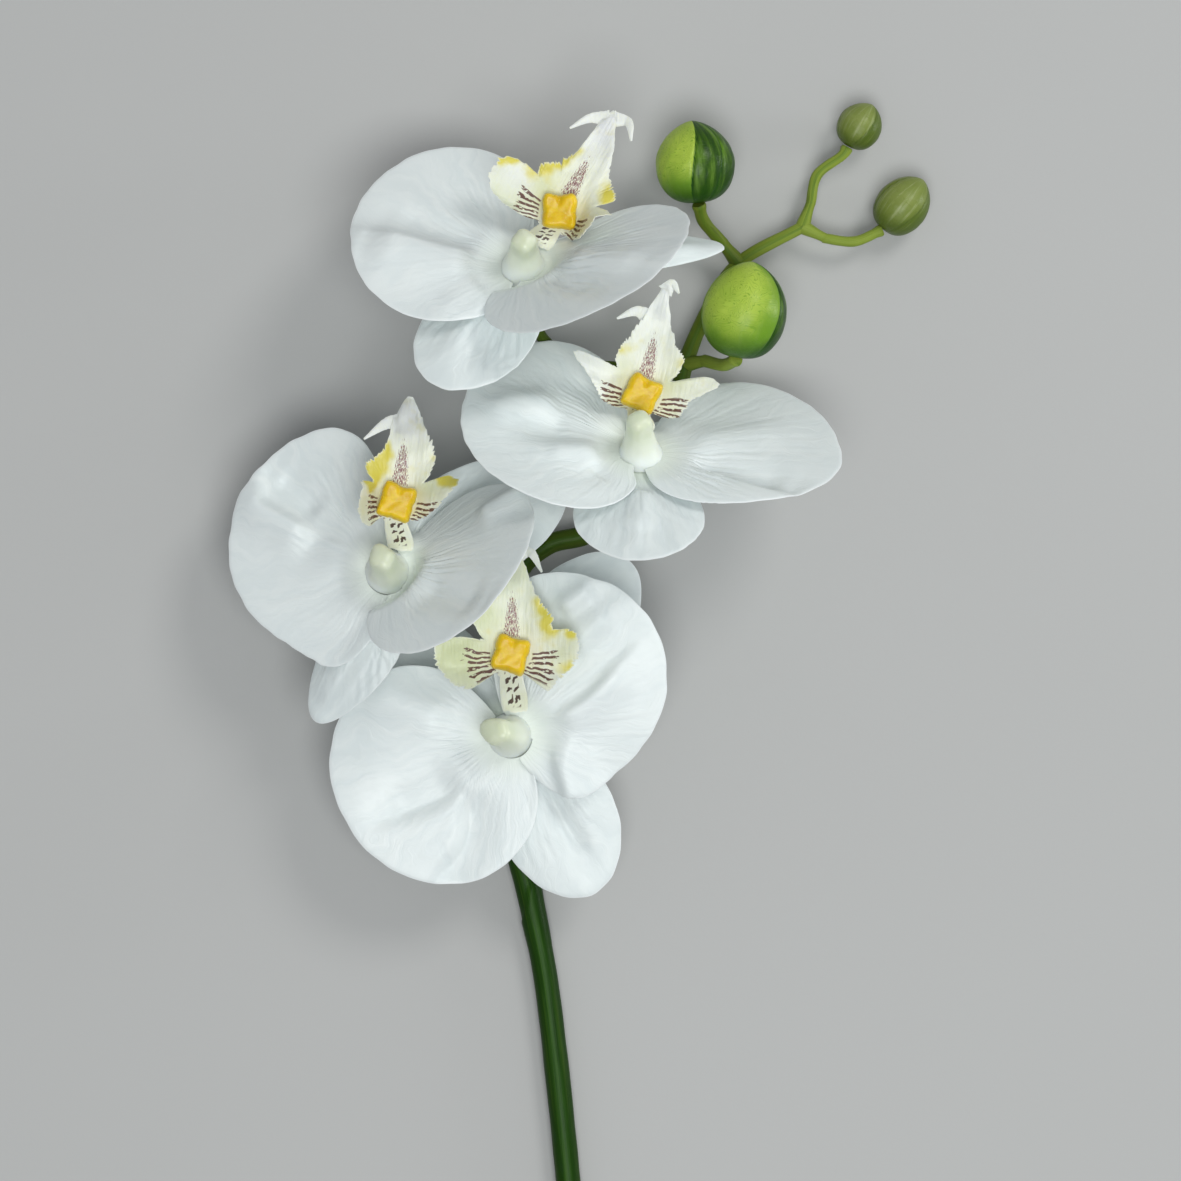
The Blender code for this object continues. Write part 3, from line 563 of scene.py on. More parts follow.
# The ribbons under a lip's neck and along its hooks: half widths, and how deep they lie
HOOK_WIDTHS = (2.3, 0.3)
NECK_END_WIDTH = 0.7
HOOK_SINK = 0.22

# Heights of the tepals' pleats and ruffles, and how much the creases below are raised
PLEAT = 0.07
FINE_PLEAT = 0.26
RUFFLE = 0.5
CREASE_GROWTH = 2.3
CREASE_FADE = 4

# Creases and dents of the tepals: points by angle and distance from the bloom's axis, how far
# the blade falls back to their left and to their right, and how far it stands out on them
CREASES = {
    "bloom_1_petal_left": (
        (((32, 10), (27, 26), (22, 43)), 11, 4, 1.9),
        (((8, 12), (6, 38)), 5, 5, -0.8),
        (((62, 12), (70, 30)), 6, 4, 0.6),
    ),
    "bloom_1_petal_right": (
        (((12, 12), (5, 44)), 6, 5, 0.9),
        (((-22, 10), (-16, 36)), 4, 4, -0.5),
    ),
    "bloom_2_petal_left": (
        (((-17, 24), (1, 36), (11, 42)), 6, 5, 1),
        (((4, 19), (10, 32)), 6, 5, -0.6),
        (((24, 9), (30, 17), (26, 27)), 5, 3.4, 0.85),
        (((50, 9), (58, 18)), 4, 3, -0.6),
    ),
    "bloom_2_petal_right": (
        (((-14, 11), (-16, 23), (-20, 41)), 6, 2, -1.2),
        (((22, 12), (16, 40)), 6, 6, 0.5),
    ),
    "bloom_3_petal_left": (
        (((3, 21), (2, 33), (1, 41), (-6, 45)), 7, 1.7, 1.5),
        (((-9, 24), (-10, 42)), 2.6, 5, -1),
        (((0, 9), (2, 20)), 1.2, 1, 0.25),
    ),
    "bloom_3_petal_right": (
        (((-26, 13), (-18, 42)), 6, 6, -1),
        (((30, 28), (34, 46)), 4, 5, 1),
    ),
    "bloom_4_petal_left": (
        (((25, 17), (18, 28), (12, 40)), 2.2, 8, -1),
        (((26, 17), (46, 31), (41, 45)), 7, 2.2, -1),
        (((-36, 14), (-40, 42)), 7, 6, 0.9),
    ),
    "bloom_4_petal_right": (
        (((-33, 10), (-22, 24), (-14, 38)), 1.7, 6, 1.2),
        (((-36, 10), (-80, 17), (-98, 27)), 6, 2.4, 1.3),
        (((10, 28), (4, 44)), 4, 4, 0.8),
        (((22, 36), (14, 47)), 2.4, 4, 1),
    ),
    "bloom_1_sepal_dorsal": ((((-8, 12), (-4, 34)), 4, 4, 0.8),),
    "bloom_1_sepal_right": ((((2, 16), (0, 50)), 4, 3, 0.7),),
    "bloom_2_sepal_dorsal": ((((4, 10), (0, 30)), 4, 4, 0.8),),
    "bloom_3_sepal_dorsal": ((((16, 10), (5, 26), (0, 42)), 2.2, 7, 1.5),),
    "bloom_4_sepal_dorsal": ((((6, 12), (3, 40)), 3.5, 2.6, -0.9),),
}

# Where a tepal is finely pleated: the first and last angle, and the first and last distance
PLEATED = {
    "bloom_1_petal_left": (-48, 10, 10, 40),
    "bloom_1_petal_right": (-40, 45, 8, 40),
    "bloom_2_petal_left": (-60, -2, 12, 44),
    "bloom_2_petal_right": (-60, 10, 8, 34),
    "bloom_3_petal_left": (-60, -10, 14, 44),
    "bloom_3_petal_right": (-50, 20, 8, 30),
    "bloom_4_petal_left": (-70, 60, 8, 24),
    "bloom_4_petal_right": (-20, 50, 8, 26),
}
PLEATED_ELSE = (-40, 40, 8, 40)


def ripple(seed, position, slowest, count=5):
    """A smooth seeded ripple of about -1 to 1 along a position."""
    random = np.random.default_rng(seed)
    total = np.zeros_like(position, dtype=float)
    for step in range(count):
        phase = random.uniform(0, 2 * math.pi)
        total += np.sin(position * slowest * 1.63**step + phase) * random.uniform(0.4, 1)
    return total / (0.6 * count)


def crease_heights(creases, x, y):
    """How far a tepal's creases raise the points of its flat plane."""
    height = np.zeros_like(x)
    for points, left, right, peak in creases:
        line = smooth_path([reach * vec(*cos_sin(turn), 0) for turn, reach in points], 0.6)[:, :2]
        apart = np.stack([x, y], axis=1)[:, None, :] - line
        nearest = np.argmin((apart**2).sum(axis=2), axis=1)
        offset, along = apart[np.arange(len(x)), nearest], unit(np.gradient(line, axis=0))[nearest]
        across = along[:, 0] * offset[:, 1] - along[:, 1] * offset[:, 0]
        beyond = (along * offset).sum(axis=1)
        fallen = across / np.where(across > 0, left, right)
        travel = nearest / (len(line) - 1)
        window = smooth_step(travel / 0.3) * (1 - 0.6 * smooth_step((travel - 0.75) / 0.25))
        height += CREASE_GROWTH * peak * window * np.exp(-(fallen**2) - (beyond / CREASE_FADE) ** 2)
    return height


def pleat_heights(area, seed, degrees, radius):
    """Fine uneven pleats that fan out from the claw inside an area of the tepal."""
    first, last, near, far = area
    inside = smooth_step((degrees - first) / 10) * smooth_step((last - degrees) / 10)
    inside = inside * smooth_step((radius - near) / 5) * smooth_step((far - radius) / 12)
    wander = 3 * ripple(seed + 21, radius, 0.12, 3)
    return FINE_PLEAT * inside * ripple(seed + 20, degrees + wander, 1.1, 4)


def fine_tepal(bloom, tepal, seed):
    """The tepal's middle surface with its creases and ruffles, its sheet's thickness and its marks."""
    name = f"{bloom.name}_{tepal.name}"
    spokes, rings = PETAL_GRID if tepal.is_petal else SEPAL_GRID
    along, left, out = face_frame(bloom, tepal.heading)
    posed_frame = np.array(pose(tepal.heading, tepal.rise, tepal.roll))
    share = rim_shares(tepal, spokes)
    rim_phi, rim = rim_outline(tepal, share)
    rim = rim + 0.3 * ripple(seed + 5, np.degrees(rim_phi), 0.11) * (1 - np.abs(share) ** 6)
    claw_right, claw_left = min(CLAW_ANGLE, tepal.spread_right), min(CLAW_ANGLE, tepal.spread_left)
    claw = np.radians(np.linspace(-claw_right, claw_left, spokes + 1))
    stops = np.concatenate([[-1, -0.5], 1 - (1 - np.linspace(0, 1, rings)) ** 1.3])
    places, thickness, flat_marks, polar_marks = [], [], [], []
    for ring in stops:
        phi = blend(claw, rim_phi, smooth_step(ring * CLAW_SPREAD))
        radius = blend(CLAW_FLAT, rim, ring)
        if ring < 0:
            radius = np.full(spokes + 1, blend(CLAW_FLAT, CLAW_RADIUS, -ring))
        x, y = radius * np.cos(phi), radius * np.sin(phi)
        degrees = np.degrees(phi)
        relief = PLEAT * ripple(seed, degrees, 0.5, 4) * (1 - 0.7 * ring**4)
        relief = relief + pleat_heights(PLEATED.get(name, PLEATED_ELSE), seed, degrees, radius)
        relief = relief + crease_heights(CREASES.get(name, ()), x, y)
        ruffle = RUFFLE * ripple(seed + 9, degrees, 0.05, 3) * smooth_step((ring - 0.5) / 0.5)
        height = tepal_heights(tepal, x, y) + ruffle + relief * smooth_step((radius - 9) / 8)
        flat = np.outer(x, along) + np.outer(y, left)
        posed = np.stack([x, y, height], axis=1) @ posed_frame
        held = smooth_step((radius - CLAW_FLAT) / CLAW_REACH)[:, None]
        places.append(bloom.centre + tepal.depth * out + blend(flat, posed, held))
        inward = np.clip((rim - radius) / RIM_ROUND, 0, 1)
        thickness.append(blend(SHEET_RIM, SHEET, np.sqrt(1 - (1 - inward) ** 2)))
        flat_marks.append(np.stack([x, y, np.maximum(rim - radius, 0)], axis=1))
        polar_marks.append(np.stack([degrees, radius, np.full_like(x, seed)], axis=1))
    marks = {"flat": np.concatenate(flat_marks), "polar": np.concatenate(polar_marks)}
    return np.concatenate(places), np.concatenate(thickness), marks, len(stops), spokes + 1


def grid_quads(rows, columns):
    """Quads of a grid of rows and columns, and its border in order."""
    at = np.arange(rows * columns).reshape(rows, columns)
    quads = np.stack([at[:-1, :-1], at[1:, :-1], at[1:, 1:], at[:-1, 1:]], axis=-1)
    border = np.concatenate([at[0], at[1:, -1], at[-1, -2::-1], at[-2:0:-1, 0]])
    return quads.reshape(-1, 4).tolist(), border.tolist()


def ring_quads(rings, sides, first=0):
    """Quads between rings of points that follow each other from the first point."""
    at = first + np.arange(rings * sides).reshape(rings, sides)
    after = np.roll(at, -1, axis=1)
    return np.stack([at[:-1], after[:-1], after[1:], at[1:]], axis=-1).reshape(-1, 4).tolist()


def disc_quads(spokes, rings):
    """Faces of a disc of rings round one middle point, and its border in order."""
    fan = [(0, 1 + (spoke + 1) % spokes, 1 + spoke) for spoke in range(spokes)]
    return fan + ring_quads(rings, spokes, 1), list(range(1 + (rings - 1) * spokes, 1 + rings * spokes))


def tube_faces(rings, sides):
    """Quads of a tube's rings, and one face over each of its ends."""
    last = (rings - 1) * sides
    ends = [tuple(range(sides - 1, -1, -1)), tuple(range(last, last + sides))]
    return ring_quads(rings, sides) + ends


def point_normals(points, faces):
    """The direction out of the surface at each point."""
    corners = np.array([face if len(face) == 4 else (*face, face[-1]) for face in faces])
    a, b, c, d = (points[corners[:, corner]] for corner in range(4))
    across = np.cross(c - a, d - b)
    normals = np.zeros_like(points)
    for corner in range(4):
        np.add.at(normals, corners[:, corner], across)
    return normals / np.maximum(np.linalg.norm(normals, axis=1, keepdims=True), 1e-12)


def facing(points, faces, out):
    """The surface's normals, turned to the side that out points to."""
    normals = point_normals(points, faces)
    return normals if (normals @ out).sum() > 0 else -normals


def shell(points, offset, faces, border, marks):
    """A closed sheet whose two surfaces lie an offset above and below the points."""
    under = len(points)
    solid = [*faces, *([under + corner for corner in reversed(face)] for face in faces)]
    for first, second in zip(border, border[1:] + border[:1]):
        solid.append((second, first, under + first, under + second))
    both = {mark: np.concatenate([values, values]) for mark, values in marks.items()}
    return np.concatenate([points + offset, points - offset]), solid, both


def joined(form, more):
    """Two forms, each its points, faces and marks, as one."""
    (points, faces, marks), (more_points, more_faces, more_marks) = form, more
    moved = [[len(points) + corner for corner in face] for face in more_faces]
    marks = {name: np.concatenate([marks[name], more_marks[name]]) for name in marks}
    return np.concatenate([points, more_points]), faces + moved, marks


def add_piece(form, slot, node, ending):
    """A shown piece in metres over the table, which stands for one solid and takes its finish."""
    name = f"{node}_{ending}"
    points, faces, marks = form
    points = (np.asarray(points) - ORIGIN) * MM
    points[:, 2] = np.maximum(points[:, 2], 0)
    mesh = bpy.data.meshes.new(name)
    mesh.from_pydata(points.tolist(), [], faces)
    for mark, values in marks.items():
        layer = mesh.attributes.new(mark, "FLOAT_VECTOR", "POINT")
        layer.data.foreach_set("vector", np.asarray(values, dtype=np.float32).ravel())
    build = bmesh.new()
    build.from_mesh(mesh)
    bmesh.ops.recalc_face_normals(build, faces=build.faces)
    build.to_mesh(mesh)
    build.free()
    mesh.shade_smooth()
    mesh.set_sharp_from_angle(angle=math.radians(SHARP_EDGE))
    mesh.materials.append(FINISHES[slot])
    piece = bpy.data.objects.new(name, mesh)
    bpy.context.collection.objects.link(piece)
    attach(piece, "root")
    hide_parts(node)


def show_tepals(bloom, first_seed):
    for number, tepal in enumerate(bloom.tepals):
        points, thickness, marks, rows, columns = fine_tepal(bloom, tepal, first_seed + 13 * number)
        faces, border = grid_quads(rows, columns)
        face = pose(tepal.heading, tepal.rise, tepal.roll)[2]
        offset = facing(points, faces, face) * thickness[:, None] / 2
        slot = "petal_white" if tepal.is_petal else "sepal_white"
        form = shell(points, offset, faces, border, marks)
        add_piece(form, slot, f"{bloom.name}_{tepal.name}", "sheet")


def smooth_ring(values, width):
    """Values round a closed ring, smoothed over a width in steps."""
    reach = int(3 * width)
    weights = np.exp(-0.5 * (np.arange(-reach, reach + 1) / width) ** 2)
    wrapped = np.concatenate([values[-reach:], values, values[:reach]])
    return np.convolve(wrapped, weights / weights.sum(), mode="valid")


# Tinted areas of each lip: angle, distance, size and strength. The olive areas are painted shade.
LIP_TINTS = {
    "bloom_1": {
        "yellow": ((50, 14, 3.2, 1), (30, 13.5, 2.2, 0.9), (16, 16, 1.8, 0.6), (70, 20, 1.8, 0.9),
                   (78, 22.5, 1.6, 0.8), (-48, 15.5, 3, 1)),
        "olive": ((62, 8, 3.5, 0.7), (98, 16, 4.5, 0.6)),
        "white": ((82, 16, 4, 0.8), (0, 26, 8, 0.9)),
    },
    "bloom_2": {
        "yellow": ((44, 13, 2.5, 0.4), (-44, 13.5, 2.5, 0.35)),
        "olive": ((60, 8, 2.5, 0.5), (-60, 8, 2.5, 0.5)),
        "white": ((72, 18, 6, 0.9), (0, 26, 8, 0.8)),
    },
    "bloom_3": {
        "yellow": ((46, 12.5, 3.4, 1), (30, 13.5, 2.6, 0.9), (20, 15, 1.6, 0.5), (62, 11, 2.6, 0.8),
                   (-60, 16.5, 2.8, 0.9), (-34, 16, 1.6, 0.4)),
        "olive": ((-58, 10, 2.6, 0.5),),
        "white": ((0, 25, 7, 0.8),),
    },
    "bloom_4": {
        "yellow": ((-34, 15.5, 2.2, 0.9), (-52, 14.5, 2.6, 1), (-68, 17.5, 1.8, 0.8),
                   (-100, 17, 1.5, 0.4)),
        "olive": ((90, 15, 7, 1), (40, 12, 4, 0.8), (8, 22, 6, 0.5), (-88, 14, 3, 0.4)),
        "white": (),
    },
}
TINT_SPREAD = 1.45


def lip_tints(name, x, y):
    """How yellow each point of a flat lip is, how much olive painted shade it has, and how white it is."""
    tints = []
    for tint in ("yellow", "olive", "white"):
        amount = np.zeros_like(x)
        for turn, reach, size, strength in LIP_TINTS[name][tint]:
            cos, sin = cos_sin(turn)
            apart = (x - reach * cos) ** 2 + (y - reach * sin) ** 2
            amount = np.maximum(amount, strength * np.exp(-apart / (TINT_SPREAD * size) ** 2))
        tints.append(amount)
    return np.stack(tints, axis=1)


def lip_waves(seed, x, y):
    return LIP_WAVE * ripple(seed + 6, x + 0.6 * y, 0.35, 3)


def fine_lip(bloom, seed):
    """The lip's middle surface with its frayed rim, and its marks."""
    spokes, rings = LIP_GRID
    random = np.random.default_rng(seed)
    angles = np.arange(spokes) * 360 / spokes - 180
    rim = smooth_ring(lip_rim(bloom.lip, angles), LIP_SMOOTHING)
    frayed = smooth_step((np.abs(angles) - 4) / 5) * (1 - smooth_step((np.abs(angles) - 118) / 16))
    teeth = random.normal(0, LIP_TEETH, spokes) - LIP_NOTCHES * (random.random(spokes) > 0.87)
    rim = rim + frayed * teeth + 0.3 * ripple(seed, angles, 0.13)
    phi = np.radians(angles)
    points, marks = [lip_place(bloom, [0], [0])], [np.zeros((1, 3))]
    for share in 1 - (1 - np.linspace(0, 1, rings + 1)[1:]) ** 1.2:
        x, y = share * rim * np.cos(phi), share * rim * np.sin(phi)
        curl = LIP_CURL * ripple(seed + 3, angles, 0.05, 4) * smooth_step((share - 0.7) / 0.3) * frayed
        relief = curl + lip_waves(seed, x, y) + 0.03 * ripple(seed + 4, angles, 0.5)
        points.append(lip_place(bloom, x, y, above=relief * smooth_step((share * rim - 7) / 5)))
        marks.append(np.stack([x, y, share * rim], axis=1))
    marks = np.concatenate(marks)
    tints = lip_tints(bloom.name, marks[:, 0], marks[:, 1])
    marks[:, 2] = np.maximum(np.concatenate([[30], np.tile(rim, rings)]) - marks[:, 2], 0)
    return np.concatenate(points), {"flat": marks, "tint": tints}


def ring_angles(sides):
    return np.arange(sides) * 2 * math.pi / sides


def oval(place, side, up, angles, width, height):
    """An oval of points round a place, which reaches width to its side and height up."""
    return place + np.outer(np.cos(angles) * width, side) + np.outer(np.sin(angles) * height, up)


def ribbon(path, normal, widths, thickness):
    """Points and faces of a flat pointed ribbon along a path."""
    ahead = unit(np.gradient(path, axis=0))
    across = unit(np.cross(normal, ahead))
    upward = np.cross(ahead, across)
    points = [oval(place, side, up, ring_angles(HOOK_SIDES), width, thickness / 2)
              for place, side, up, width in zip(path, across, upward, widths)]
    return np.concatenate(points), tube_faces(len(path), HOOK_SIDES)


def show_lip(bloom, seed):
    """The frayed sheet, with a ribbon under its neck and one along each hook of its tip."""
    lip = bloom.lip
    points, marks = fine_lip(bloom, seed)
    faces, border = disc_quads(*LIP_GRID)
    up = lip_frame(bloom)[1][2]
    thickness = LIP_SHEET * (1 - 0.65 * smooth_step(1 - marks["flat"][:, 2] / LIP_RIM_ROUND))
    form = shell(points, facing(points, faces, up) * thickness[:, None] / 2, faces, border, marks)
    neck = [(lip.length - back, 0) for back in (10, 5, 0)]
    for number, hook in enumerate([neck, *lip.hooks]):
        flat = smooth_path([(x, y, 0) for x, y in hook], 0.4)
        x, y = flat[:, 0], flat[:, 1]
        share = np.linspace(0, 1, len(flat))
        path = lip_place(bloom, x, y, above=lip_waves(seed, x, y) - HOOK_SINK)
        widths = blend(*HOOK_WIDTHS, share**0.8)
        if number == 0:
            widths = blend(lip.neck_width, NECK_END_WIDTH, share**3)
        widths = widths + 0.16 * ripple(seed + 8 + number, share * 40, 1) * (1 - share)
        marks = np.repeat(np.column_stack([x, y, np.full(len(x), 2)]), HOOK_SIDES, axis=0)
        marks = {"flat": marks, "tint": np.tile([0, 0, 0.7], (len(marks), 1))}
        form = joined(form, (*ribbon(path, up, widths, 0.8 * LIP_SHEET), marks))
    add_piece(form, "lip_cream", f"{bloom.name}_lip", "sheet")


def show_callus(bloom, seed):
    """The blocky four-cornered lump, with a shallow groove into its front."""
    spokes, rings = CALLUS_GRID
    angles = np.arange(spokes) * 360 / spokes - 180
    rim = smooth_ring(np.interp(np.abs(angles), *zip(*CALLUS_OUTLINE)), 1.6)
    rim = rim + 0.14 * ripple(seed + 1, angles, 0.06)
    cos, sin = cos_sin(bloom.lip.callus_turn)
    upper, lower, marks = [], [], []
    for share in 1 - (1 - np.linspace(0, 1, rings + 1)) ** 1.6:
        ring = slice(None) if share else slice(1)
        phi, reach = np.radians(angles[ring]), share * rim[ring]
        along, across = reach * np.cos(phi), reach * np.sin(phi)
        groove = CALLUS_GROOVE * np.exp(-((across / 0.7) ** 2)) * smooth_step((along - 1) / 2)
        inward = np.clip((rim[ring] - reach) / CALLUS_SHOULDER, 0, 1)
        dome = CALLUS_HEIGHT * (0.2 + 0.8 * np.sqrt(1 - (1 - inward) ** 2)) * (1 - groove)
        dome = dome + 0.06 * ripple(seed, along * 2 + across * 3, 0.3, 3)
        x, y = along * cos - across * sin, along * sin + across * cos
        upper.append(lip_place(bloom, x, y, above=CALLUS_GAP + dome))
        lower.append(lip_place(bloom, CALLUS_UNDERSIDE * x, CALLUS_UNDERSIDE * y, above=0.2))
        marks.append(np.stack([along, across, np.full_like(along, share)], axis=1))
    upper, lower = np.concatenate(upper), np.concatenate(lower)
    marks = {"flat": np.concatenate(marks)}
    form = shell((upper + lower) / 2, (upper - lower) / 2, *disc_quads(spokes, rings), marks)
    add_piece(form, "callus_yellow", f"{bloom.name}_callus", "lump")


def tube(path, radius_at, sides, first=EAST, start=0):
    """A round tube whose radii come from their place and angles. It is marked from start on."""
    path = np.asarray(path, dtype=float)
    angles = ring_angles(sides)
    points, marks = [], []
    side = first
    for place, step, reach in zip(path, unit(np.gradient(path, axis=0)), travelled(path)):
        side = unit(side - step * (side @ step))
        radii = radius_at(reach, angles)
        points.append(oval(place, side, np.cross(side, step), angles, radii, radii))
        marks.append(np.stack([np.full(sides, reach + start), np.cos(angles), np.sin(angles)], axis=1))
    return np.concatenate(points), tube_faces(len(path), sides), {"flat": np.concatenate(marks)}


def show_column(bloom):
    """The column: a foot that sinks into the claws, a waist and a blunt squarish end."""
    toward, _, out = face_frame(bloom, bloom.column_heading)
    closing = COLUMN_LENGTH - COLUMN_ROUNDING * (1 - np.linspace(0, 1, 12)) ** 2
    shaft = np.linspace(3, closing[0], 18)
    stops = np.concatenate([np.linspace(COLUMN_START, 3, 14), shaft[1:], closing[1:]])
    path = [bloom.centre + (COLUMN_SEAT + COLUMN_START) * out]
    for start, end in zip(stops, stops[1:]):
        bend = bloom.column_bend * smooth_step((start + end) / 2 / COLUMN_LENGTH * 1.6)
        path.append(path[-1] + turned(out, toward, bend)[0] * (end - start))
    flap_heading, flap_size = bloom.column_flap

    def radius_at(reach, angles):
        reach = reach + COLUMN_START
        base = np.interp(reach, *zip(*COLUMN_SHAPE))
        closed = max(0, (reach - closing[0]) / COLUMN_ROUNDING)
        base = base * (1 - 0.99 * closed**2.8) ** 0.45
        end = smooth_step((reach - 6.5) / 4)
        corners = np.cos(4 * (angles + math.radians(bloom.column_heading)))
        square = 1 + COLUMN_SQUARENESS * corners * smooth_step(reach / 6)
        lumps = 1 + 0.03 * end * ripple(7, angles * 4 + reach, 1)
        away = np.angle(np.exp(1j * (angles + math.radians(flap_heading))))
        return base * square * lumps * (1 + flap_size * end * np.exp(-(away**2)))

    form = tube(path, radius_at, COLUMN_SIDES, face_frame(bloom, 0)[0])
    add_piece(form, "column_cream", f"{bloom.name}_column", "body")


def thinned(path):
    """Every third point of a path, and its two ends."""
    return [*path[:-1:3], path[-1]]


def show_stalk(node, ending, route, head, spacing, radius_at, tone):
    """A stalk that starts inside its stub on the stem. It gives the stub's path."""
    stub, stalk = branch_paths(route, STUB_LENGTH)
    path = smooth_path([stub[-2], *thinned(stalk), *head], spacing)
    length = path_length(path)

    def radii_at(reach, angles):
        return np.full(len(angles), radius_at(reach, length - reach))

    form = tube(path, radii_at, STALK_SIDES, start=tone)
    add_piece(form, "stem_green", node, ending)
    return stub


def show_pedicel(bloom):
    out = face_frame(bloom, 0)[2]

    def radius_at(reach, left):
        swell = smooth_step((12 - left) / 9)
        lumps = 0.05 * ripple(bloom.root, np.array(reach), 0.5, 3)
        return blend(PEDICEL_RADIUS, HEAD_RADIUS, swell) + lumps - 0.25 * (left < 0.1)

    route = [STEM_ROUTE[bloom.root], *bloom.pedicel, bloom.centre - PEDICEL_REACH * out]
    head = [bloom.centre - HEAD_REACH * out, bloom.centre + HEAD_HEIGHT * out]
    return show_stalk(f"{bloom.name}_pedicel", "stalk", route, head, 0.7, radius_at, PEDICEL_TONE)


def show_bud_stalk(bud, axis):
    def radius_at(reach, left):
        flare = 0.35 * smooth_step((2.5 - left) / 2.5) - 0.4 * (reach < 0.05)
        lumps = 0.05 + 0.05 * ripple(bud.root + 3, np.array(reach), 0.45, 3)
        return bud.stalk_radius + flare + lumps - 0.3 * (left < 0.1)

    route = [STEM_ROUTE[bud.root], *bud.stalk, bud.base - 3 * axis, bud.base - TOUCH_GAP * axis]
    return show_stalk(f"{bud.name}_stalk", "rod", route, [], 0.6, radius_at, bud.stalk_tone)


def bud_relief(scales, degrees):
    """How deep the seams are and how dark the scales round a bud."""
    groove, tint = np.zeros_like(degrees), np.zeros_like(degrees)
    scales = sorted(scales)
    for (seam, shade), (after, _) in zip(scales, scales[1:] + scales[:1]):
        away = (degrees - seam + 180) % 360 - 180
        groove += np.exp(-((away / 1.8) ** 2)) - 0.1 * np.exp(-(((away - 5) / 5) ** 2))
        tint = np.where((degrees - seam) % 360 < (after - seam) % 360, shade, tint)
    return groove, tint


def show_bud(bud, seed):
    """An egg-shaped bud of overlapping scales that meet in seams, and its stalk."""
    large = bud.radius > LARGE_BUD_RADIUS
    sides, rings = LARGE_BUD_GRID if large else SMALL_BUD_GRID
    base, tip = bud.base, bud.tip
    axis = unit(tip - base)
    first = unit(np.cross(axis, vec(0, 0, 1)))
    angles = ring_angles(sides)
    points, marks = [base], [(0, 0.5, 0)]
    for step in np.linspace(0, math.pi, rings + 2)[1:-1]:
        share = (1 - math.cos(step)) / 2
        groove, tint = bud_relief(bud.scales, (np.degrees(angles) + SEAM_TWIST * (share - 0.55)) % 360)
        swell = math.sin(step) ** (BUD_BLUNTNESS + BUD_TAPER * share) * (1 + BUD_LOW_BULGE * math.cos(step))
        depth = BUD_SEAM_DEPTH * (0.55 * math.sin(step) ** 0.5 * groove + 0.2)
        lumps = 0.012 * ripple(seed + 1, angles * 3 + share * 5, 1)
        radii = bud.radius * swell * (1 - depth + lumps * math.sin(step))
        points.extend(oval(base + (tip - base) * share, first, np.cross(first, axis), angles, radii, radii))
        marks.extend(np.stack([np.full(sides, share), tint, np.clip(groove, 0, 1)], axis=1))
    points.append(tip)
    marks.append((1, 0.5, 0))
    last = 1 + sides * rings
    faces = ring_quads(rings, sides, 1)
    for side, after in zip(range(sides), [*range(1, sides), 0]):
        faces.append((0, 1 + after, 1 + side))
        faces.append((last, last - sides + side, last - sides + after))
    flat = np.array(marks)
    turns = np.concatenate([[0], np.tile(angles, rings), [0]])
    round_marks = np.stack([np.cos(turns), np.sin(turns), flat[:, 0] * ((tip - base) @ axis)], axis=1)
    form = (np.array(points), faces, {"flat": flat, "round": round_marks})
    add_piece(form, "bud_green" if large else "bud_olive", bud.name, "body")
    return show_bud_stalk(bud, axis)


def show_stem(stubs):
    """The stem with its two sheaths and the stubs that the stalks start from."""

    def stem_radii(reach, angles):
        radii = stem_radius(reach) + 0.06 * ripple(3, angles, 1, 3)
        radii = radii + 0.1 * ripple(4, np.full(len(angles), reach), 0.12, 4)
        for end in SHEATH_REACHES:
            rim = end - SHEATH_SLANT * (1 - np.cos(angles))
            swell = np.interp(reach, (end - SHEATH_LENGTH - 8, end - 4, end), (0, 0.7, 0.45))
            radii = radii + swell * (1 - smooth_step((reach - rim) / 0.9))
        return radii

    form = tube(smooth_path(STEM_ROUTE, 0.9), stem_radii, STEM_SIDES)
    for stub, tone, radius in stubs:
        line = smooth_path(thinned(stub), 0.6)
        length = path_length(line)

        def stub_radii(reach, angles):
            return np.full(len(angles), radius + STUB_FLARE * (1 - smooth_step(reach / (0.85 * length))))

        form = joined(form, tube(line, stub_radii, STALK_SIDES, start=tone - length))
    add_piece(form, "stem_green", "stem", "body")


class Value:
    """What a shader node gives. It adds, multiplies and steps as a number does."""

    def __init__(self, finish, socket):
        self.finish = finish
        self.socket = socket

    def __add__(self, other):
        return self.finish.maths("ADD", self, other)

    def __sub__(self, other):
        return self.finish.maths("SUBTRACT", self, other)

    def __mul__(self, other):
        return self.finish.maths("MULTIPLY", self, other)

    def __abs__(self):
        return self.finish.maths("ABSOLUTE", self)

    def step(self, low, high):
        """0 at low and 1 at high, smoothly, whichever of the two is larger."""
        ends = (low, high, 0, 1) if low < high else (high, low, 1, 0)
        return self.finish.node("MapRange", (self, *ends), interpolation_type="SMOOTHSTEP")

    def scale(self, *ends):
        """The span of the first two ends, stretched to that of the last two."""
        return self.finish.node("MapRange", (self, *ends))


